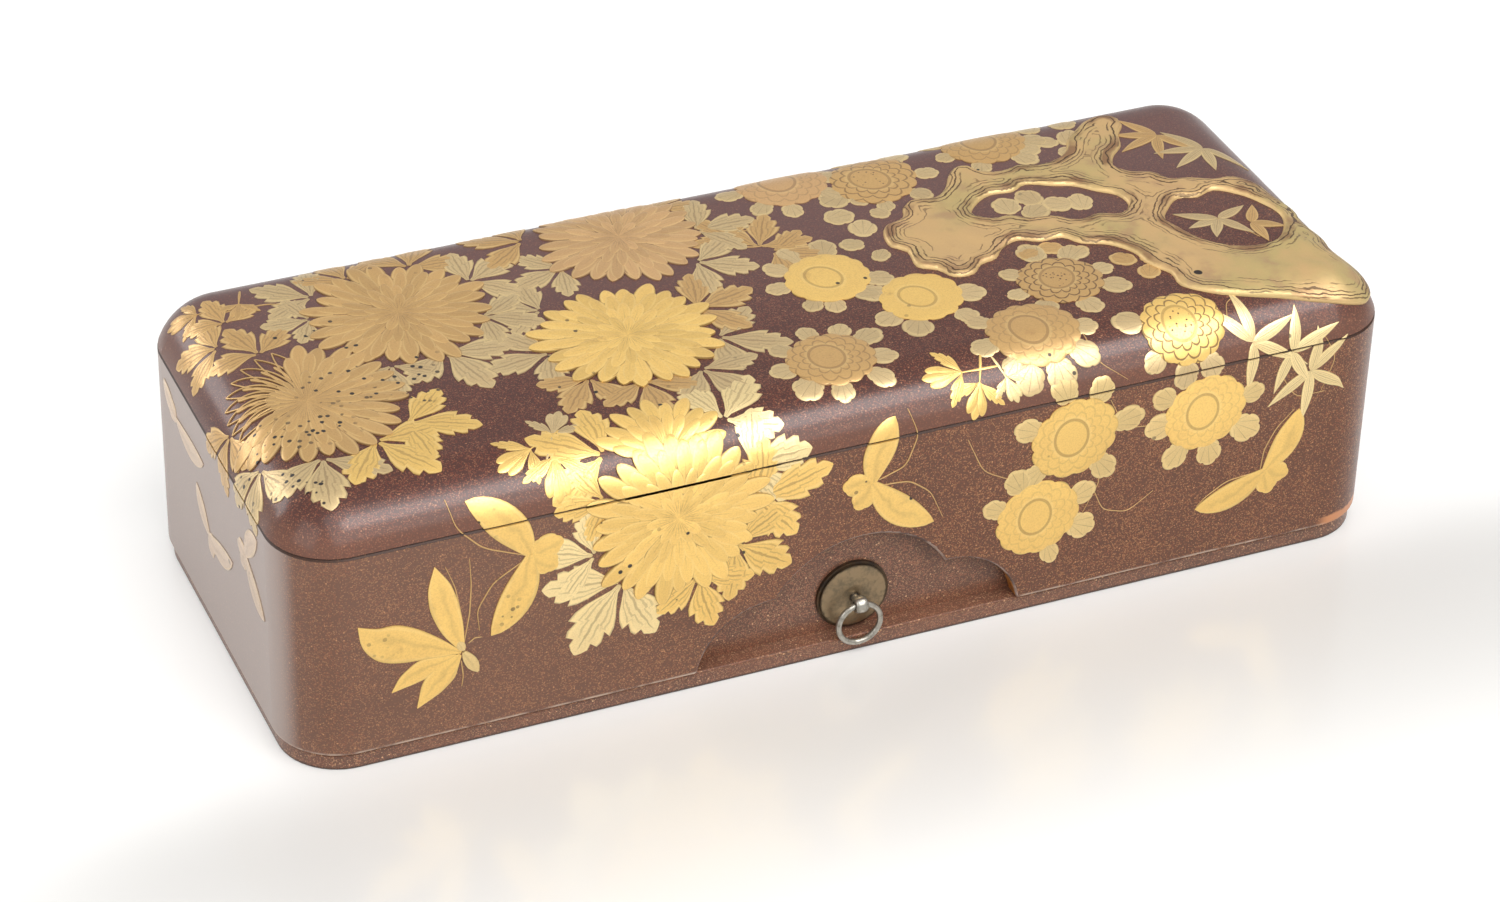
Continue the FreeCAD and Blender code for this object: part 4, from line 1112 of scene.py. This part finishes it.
BUTTONS = [
    # u, v, radius, tone, strength of the scale lines, leaves from, to, count, tone of the leaves
    (18, 38, 10.6, "rosy", 0.4, 180, 350, 5, "green"),
    (37.5, 32, 10.5, "tan", 0.8, -60, 260, 7, "green"),
    (67, 38, 10.0, "tan", 0.5, 150, 400, 6, "green"),
    (11.5, -2, 9.8, "yellow", 0.1, 70, 340, 8, "green"),
    (-0.5, -31, 9.8, "tan", 0.6, 60, 390, 9, "green"),
    (27, -16, 9.6, "yellow", 0.1, 150, 350, 5, "green"),
    (57.5, -20.5, 9.6, "tan", 1.0, 0, 330, 8, "green"),
    (43.5, -36, 10.4, "tan", 0.4, 150, 350, 7, "green"),
    (75.5, -43, 9.6, "yellow", 0.95, 170, 300, 4, "green"),
    (48, -63.5, 10.2, "yellow", 0.3, -50, 215, 6, "honey"),
    (79, -64.5, 9.8, "yellow", 0.25, 150, 375, 6, "honey"),
    (40.5, -82, 9.8, "yellow", 0.25, 120, 380, 7, "honey"),
]
for k, (u, v, radius, tone, strength, first, last, count, leaf_tone) in enumerate(BUTTONS):
    button((u, v), radius, tone, 0.10 + 0.02 * (k % 5), strength, fan(first, last, count),
           dice.uniform(-0.7, 0.7), leaf_tone)
for u, v in ((60, 11), (66, 12.5), (71, 8), (76, 7), (65, 7), (27, 14), (24, 20), (86, 33),
             (88, 40), (80, 41), (75, 32)):
    round_leaf((u, v), dice.uniform(0, 3), 3.6)
for u, v, tone in ((56, -8.5, "tan"), (61.5, -8, "tan"), (66, -11.5, "green"), (74, -17.5, "tan"),
                   (77, -24, "tan"), (80, -19.5, "tan"), (22, 8.5, "green"), (31, 25.5, "green"),
                   (33, 18.5, "green"), (26, 2.5, "green"), (80.5, 33, "green"), (83, 27.5, "green")):
    round_leaf((u, v), dice.uniform(0, 3), dice.uniform(2.4, 3.2), tone)

# Bamboo

for root, angles, reach, tone in (
        ((90, -50), (95, 130, 330, 265, 20), 15, "pale"),
        ((99, -54), (75, 300, 250, 20), 14, "pale"),
        ((104, -60), (80, 40, 330, 265, 215), 14, "pale"),
        ((105, 27), (200, 160, 120, 250, 300), 13, "tan"),
        ((112, 18), (210, 170, 120, 260, 310), 13, "green"),
        ((101, -10), (150, 190, 240, 300, 20), 11, "green"),
        ((107, -14), (60, 330, 270), 9, "tan")):
    bamboo_spray(root, angles, reach, tone)
thread([(101, -10), (104, -15), (106, -20)], 0.25, shade("tan"))
thread([(90, -50), (94, -53), (99, -54), (103, -58)], 0.25, shade("pale"))

# Butterflies

butterfly((-74, -62), ((-86, -47), (-82, -80)), (15, 320), feelers=(
    [(-75, -62), (-84, -58), (-89.5, -52), (-90.5, -46)], [(-75, -63), (-82, -67), (-85.5, -73), (-85, -78)]),
    width=3.8)
butterfly((1.5, -63.5), ((6.5, -49), (15.5, -77)), (175, 240), feelers=(
    [(3, -63), (9, -61), (11.5, -54), (10, -48)], [(3, -64.5), (10, -65), (15, -69), (18, -76)]), width=3.5)
butterfly((95, -83.5), ((102.5, -69.5), (79, -90)), (340, 285), feelers=(
    [(94, -83), (94.5, -78), (97, -73), (101, -69)], [(93, -83.5), (86, -84), (81, -87), (79, -89)]),
    width=3.3)
butterfly((-139, 25), ((-134, 33), (-139, 6)), (90, 60), "faded", width=2.6)
butterfly((-155, 4), ((-147, 12), (-152, -12)), (250, 200), "faded", width=2.6)
butterfly((-143, -22), ((-134, -30), (-152, -33)), (140, 90), "faded", width=2.8)

# Butterfly at the front left corner, its wings spread to one side

folded = next_base()
for k, (points, widths) in enumerate((
        (((-90, -83), (-97, -84.4), (-101, -86.4), (-103.9, -88.6)), (0.3, 2.7, 1.8, 0.1)),
        (((-89.2, -83), (-92.5, -86.2), (-95.5, -89.8), (-98.6, -94)), (0.4, 3.1, 2.6, 0.1)),
        (((-89, -82.4), (-94.5, -79.9), (-100, -77.8), (-104.5, -76.2), (-107.8, -74.3), (-110.6, -70.6)),
         (0.3, 2.5, 4.3, 4.7, 3.0, 0.1)),
        (((-88.7, -82), (-90.8, -76), (-92.5, -70), (-93.5, -65), (-94.3, -60)), (0.5, 2.5, 3.1, 2.5, 0.1)))):
    wing(points, widths, folded + 0.03 * k)
strip(wings, bend((-89.6, -79.6), math.radians(-64), 2.6, 0, 5), [0.25, 0.8, 0.95, 0.8, 0.3],
      folded + 0.2, 0.2, shade("honey"))
strip(wings, bend((-88.5, -82.4), math.radians(-62), 6.4, 0, 7), [0.4, 0.9, 1.2, 1.35, 1.3, 0.95, 0.3],
      folded + 0.18, 0.24, shade("honey"))
for points in ([(-88.6, -80.6), (-88.9, -73), (-90, -66), (-92, -60.6)],
               [(-88.4, -80.6), (-87, -73), (-86.6, -66), (-86.9, -59.8)],
               [(-89, -84.6), (-88.6, -88.5), (-89, -91)], [(-87.4, -80.6), (-86, -79.6), (-84.6, -79.8)]):
    thread(points, 0.14, shade("tan"), folded)

# Tendrils

for points in ([(23, -58), (27, -67), (34, -71), (41, -68)], [(53, -77), (56, -84), (62, -86), (68, -82)],
               [(53, -38), (54, -47), (60, -52)], [(56, -56), (60, -64), (67, -65), (72, -62)],
               [(52, -70), (55, -76), (51, -84)], [(85, -46), (87, -40), (92, -38)],
               [(96, -58), (101, -66), (108, -66)], [(107, -52), (110, -58), (107, -66)]):
    thread(points, 0.11, shade("tan"), 0.0)

# Rock

ROCK = [(29.5, 8.5), (31.5, 12.5), (36.5, 14.5), (38.5, 18.5), (42, 20.6), (46.5, 19.6), (50.5, 22.6),
        (53.5, 27.2), (56.2, 29.8), (59.4, 29.2), (60.6, 26.4), (64.8, 24.6), (69.5, 25.6), (73.5, 24.2),
        (78.5, 24.8), (82.5, 27.6), (85, 31.8), (88.5, 35), (91.8, 37.6), (96.2, 39.2), (99.4, 37.6),
        (99.8, 33.8), (97, 30), (95.2, 25.4), (91.4, 21.6), (89.8, 17.6), (92, 14.2), (96.5, 12.2),
        (98.6, 8.4), (103, 7.2), (107.5, 4.8), (111.6, 4.4), (116.2, 0.6), (117.6, -5), (120.2, -10.5),
        (118.6, -17), (120.6, -23), (119.4, -29), (123, -35), (123.8, -41), (120.6, -45.2),
        (114.6, -46.4), (107, -44.6), (99.5, -42), (92, -39.6), (85.4, -36.6), (80.6, -31.6),
        (80.8, -26.6), (78, -21.6), (77.2, -16), (73.6, -11.2), (68.4, -8.6), (65.6, -5), (60.4, -4.8),
        (56.2, -2.6), (51.6, -4.4), (48.6, -7.6), (44.4, -8.8), (41.4, -11.6), (37, -11.2), (34.8, -7.4),
        (31.2, -4.6), (31.8, 1.6), (29.4, 4.6)]
HOLES = [
    [(51.5, 10.5), (54, 14), (58.5, 16.6), (64, 16.2), (68, 18), (73.5, 15.2), (77.5, 13.6), (81.5, 9.6),
     (84.8, 6.6), (85.2, 2), (81.6, -1), (77, 0.8), (72, 0), (67.5, 3.4), (62.5, 4.4), (58.5, 7),
     (54.5, 7.2)],
    [(90, -6.5), (92.6, -2.6), (96.6, 0.6), (101, -0.4), (105.6, 1), (110, -2.6), (112.8, -7),
     (115, -12.4), (112.6, -18.4), (108.6, -22.6), (103, -23.4), (98, -21.4), (94, -17.6), (91.4, -12)],
]


def smooth_loop(points, step):
    """Closed curve through the points, sampled about every step."""
    points = [np.array(p, float) for p in points]
    loop = []
    for k in range(len(points)):
        a, b, c, d = (points[(k + m) % len(points)] for m in (-1, 0, 1, 2))
        count = max(int(np.hypot(*(c - b)) / step), 1)
        for m in range(count):
            t = m / count
            loop.append(0.5 * (2 * b + (c - a) * t + (2 * a - 5 * b + 4 * c - d) * t ** 2
                               + (3 * b - a - 3 * c + d) * t ** 3))
    return np.array(loop)


def inside(points, loop):
    """Which of the points lie inside the loop."""
    x, y = points.T
    result = np.zeros(len(points), bool)
    for a, b in zip(loop, np.roll(loop, -1, 0)):
        crosses = (a[1] > y) != (b[1] > y)
        with np.errstate(divide="ignore", invalid="ignore"):
            edge = (b[0] - a[0]) * (y - a[1]) / (b[1] - a[1]) + a[0]
        result ^= crosses & (x < edge)
    return result


def within(points, loops):
    """Which of the points lie inside the first loop and outside the others."""
    keep = inside(points, loops[0])
    for hole in loops[1:]:
        keep &= ~inside(points, hole)
    return keep


def rim_distance(points, loops):
    """How far each point lies from the nearest loop."""
    best = np.full(len(points), 1e9)
    for loop in loops:
        for a, b in zip(loop, np.roll(loop, -1, 0)):
            along = b - a
            t = np.clip(((points - a) @ along) / (along @ along), 0, 1)
            best = np.minimum(best, np.hypot(*(points - a - t[:, None] * along).T))
    return best


def raised_slab(sheet, outline, holes, height, ramp, tone):
    """A plateau with holes: a closed shell whose edge rounds down to the surface."""
    loops = [smooth_loop(line, 1.3) for line in (outline, *holes)]
    edges, points = [], []
    for loop in loops:
        first = len(points)
        points += list(loop)
        edges += [(first + k, first + (k + 1) % len(loop)) for k in range(len(loop))]
    low, high = loops[0].min(0), loops[0].max(0)
    for step, near, far in ((0.5, 0.3, 2.2), (1.6, 2.2, 99)):
        us = np.arange(low[0], high[0], step)
        vs = np.arange(low[1], high[1], step)
        grid = np.array([(u + 0.31 * step * math.sin(v * 7), v + 0.31 * step * math.sin(u * 5))
                         for u in us for v in vs])
        gap = rim_distance(grid, loops)
        points += list(grid[within(grid, loops) & (gap > near) & (gap <= far)])
    made = geometry.delaunay_2d_cdt([Vector(p) for p in points], edges, [], 0, 1e-6)
    flat = np.array([tuple(p) for p in made[0]])
    middles = np.array([flat[list(f)].mean(0) for f in made[2]])
    top = [f for f, kept in zip(made[2], within(middles, loops)) if kept]
    used = sorted({k for f in top for k in f})
    number = {old: new for new, old in enumerate(used)}
    top = [tuple(number[k] for k in f) for f in top]
    flat = flat[used]
    gap = rim_distance(flat, loops)
    climb = np.clip(gap / ramp, 0, 1)
    swell = 0.25 * (np.sin(flat[:, 0] * 0.31 + 1.3 * np.sin(flat[:, 1] * 0.21)) * np.sin(flat[:, 1] * 0.27)
                    + 0.5 * np.sin(flat[:, 0] * 0.8 + flat[:, 1] * 0.5)) * np.clip((gap - 1) / 3, 0, 1)
    lift = LIP + height * np.sqrt(1 - (1 - climb) ** 2) * (1 + swell)
    count = len(flat)
    shell = np.vstack([np.column_stack([flat, lift]), np.column_stack([flat, np.full(count, FOOT)])])
    faces = top + [tuple(count + k for k in reversed(f)) for f in top]
    sides = [side for a, b, c in top for side in ((a, b), (b, c), (c, a))]
    inner_sides = set(sides)
    faces += [(b, a, count + a, count + b) for a, b in sides if (b, a) not in inner_sides]
    place = np.zeros((2 * count, 3))
    place[:, 0] = np.tile(gap, 2)
    sheet.add(shell, faces, place, tone)


raised_slab(rock, ROCK, HOLES, height=0.9, ramp=1.1, tone=shade("tan"))

for sheet in (petals, leaves, blooms, round_leaves, wings, rock):
    sheet.build()


# Strap that holds each cord ring in the staple's eye

# Half of the strap's section: distance from its middle along X, and radius.
STRAP_HALF = ((0.0, 1.87), (0.45, 1.83), (0.9, 1.72), (1.22, 1.56), (1.35, 1.42), (1.35, 0.93))
STRAP_STEPS = 40


def strap(side, front):
    """A barrel-shaped sleeve round the eye, wider than its wire and clear of the ring."""
    ring_low, ring_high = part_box(f"cord_ring_{side}")
    plate_low, plate_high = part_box(f"ring_plate_{side}")
    centre_y = (ring_low.y + ring_high.y) / 2 / MM
    centre_z = (plate_low.z + plate_high.z) / 2 / MM
    outline = [(-x, radius) for x, radius in STRAP_HALF[:0:-1]] + list(STRAP_HALF)
    count = len(outline)
    points, faces = [], []
    for k in range(STRAP_STEPS):
        turn = 2 * math.pi * k / STRAP_STEPS
        here, there = count * k, count * ((k + 1) % STRAP_STEPS)
        for m, (x, radius) in enumerate(outline):
            points.append((x * MM, (centre_y - radius * math.cos(turn) * front) * MM,
                           (centre_z + radius * math.sin(turn)) * MM))
            n = (m + 1) % count
            faces.append((here + m, there + m, there + n, here + n))
    name = f"strap_{side}"
    mesh = bpy.data.meshes.new(name)
    mesh.from_pydata(points, [], faces)
    shape = bmesh.new()
    shape.from_mesh(mesh)
    bmesh.ops.recalc_face_normals(shape, faces=shape.faces)
    shape.to_mesh(mesh)
    shape.free()
    piece = make_piece(name, mesh, silver)
    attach(piece, "base")


strap("front", 1)
strap("back", -1)


# Floor and light

FLOOR = 6
floor_mesh = bpy.data.meshes.new("floor")
floor_mesh.from_pydata([(-FLOOR, -FLOOR, 0), (FLOOR, -FLOOR, 0), (FLOOR, FLOOR, 0), (-FLOOR, FLOOR, 0)],
                       [], [(0, 1, 2, 3)])
floor = bpy.data.objects.new("floor", floor_mesh)
bpy.context.scene.collection.objects.link(floor)

# White table: plain, but with a painted shadow, a little greyer, close in front of the box. It glows for what
# is seen of it, directly or mirrored, and lights nothing.
table = Paint("white_table", Roughness=0.16, Specular_IOR_Level=0.5, Emission_Color=(1, 1, 1, 1))
x, y, z = table.split(table.place)
off = length(most(abs(x) - HALF_LENGTH, 0.0), most(abs(y) - HALF_WIDTH, 0.0))
# Painted shadow in front of the box: greyer, and glowing less.
painted_shadow = off.rise(130, 10) * y.rise(-20, -75)
rays = table.add("ShaderNodeLightPath").outputs
seen = most(*(Field(table, rays[f"Is {kind} Ray"]) for kind in ("Camera", "Glossy", "Transmission")))
plain = table.mix(table.noise(60, 2), rgb(232, 231, 229), rgb(227, 226, 223))
table.set(Base_Color=table.mix(painted_shadow, plain, rgb(214, 212, 209)),
          Emission_Strength=seen * painted_shadow.rise(0, 1, 0.3, 0.02))
floor_mesh.materials.append(table.material)


def softbox(name, direction, distance, width, height, power, only_gloss=False):
    """A lamp panel that faces the middle of the scene; only_gloss keeps it out of diffuse light."""
    data = bpy.data.lights.new(name, "AREA")
    data.shape = "RECTANGLE"
    data.size = width
    data.size_y = height
    data.energy = power
    lamp = bpy.data.objects.new(name, data)
    bpy.context.scene.collection.objects.link(lamp)
    direction = Vector(direction).normalized()
    lamp.location = direction * distance
    lamp.rotation_mode = "QUATERNION"
    lamp.rotation_quaternion = direction.to_track_quat("Z", "Y")
    lamp.visible_diffuse = not only_gloss


softbox("key", (0.1, -0.6, 0.8), 2.2, 2.0, 2.0, 38)
softbox("stripe", (0.335, -0.422, 0.844), 1.6, 1.3, 0.46, 16, True)
softbox("rear", (-0.561, 0.757, 0.335), 1.8, 0.9, 0.5, 7, True)
softbox("side", (-0.85, -0.35, 0.6), 2.0, 1.2, 1.2, 9)

world = bpy.data.worlds.new("studio")
world.use_nodes = True
bpy.context.scene.world = world
background = world.node_tree.nodes["Background"].inputs
background["Color"].default_value = (1, 1, 1, 1)
background["Strength"].default_value = 0.62

bpy.context.scene.view_settings.view_transform = "Standard"
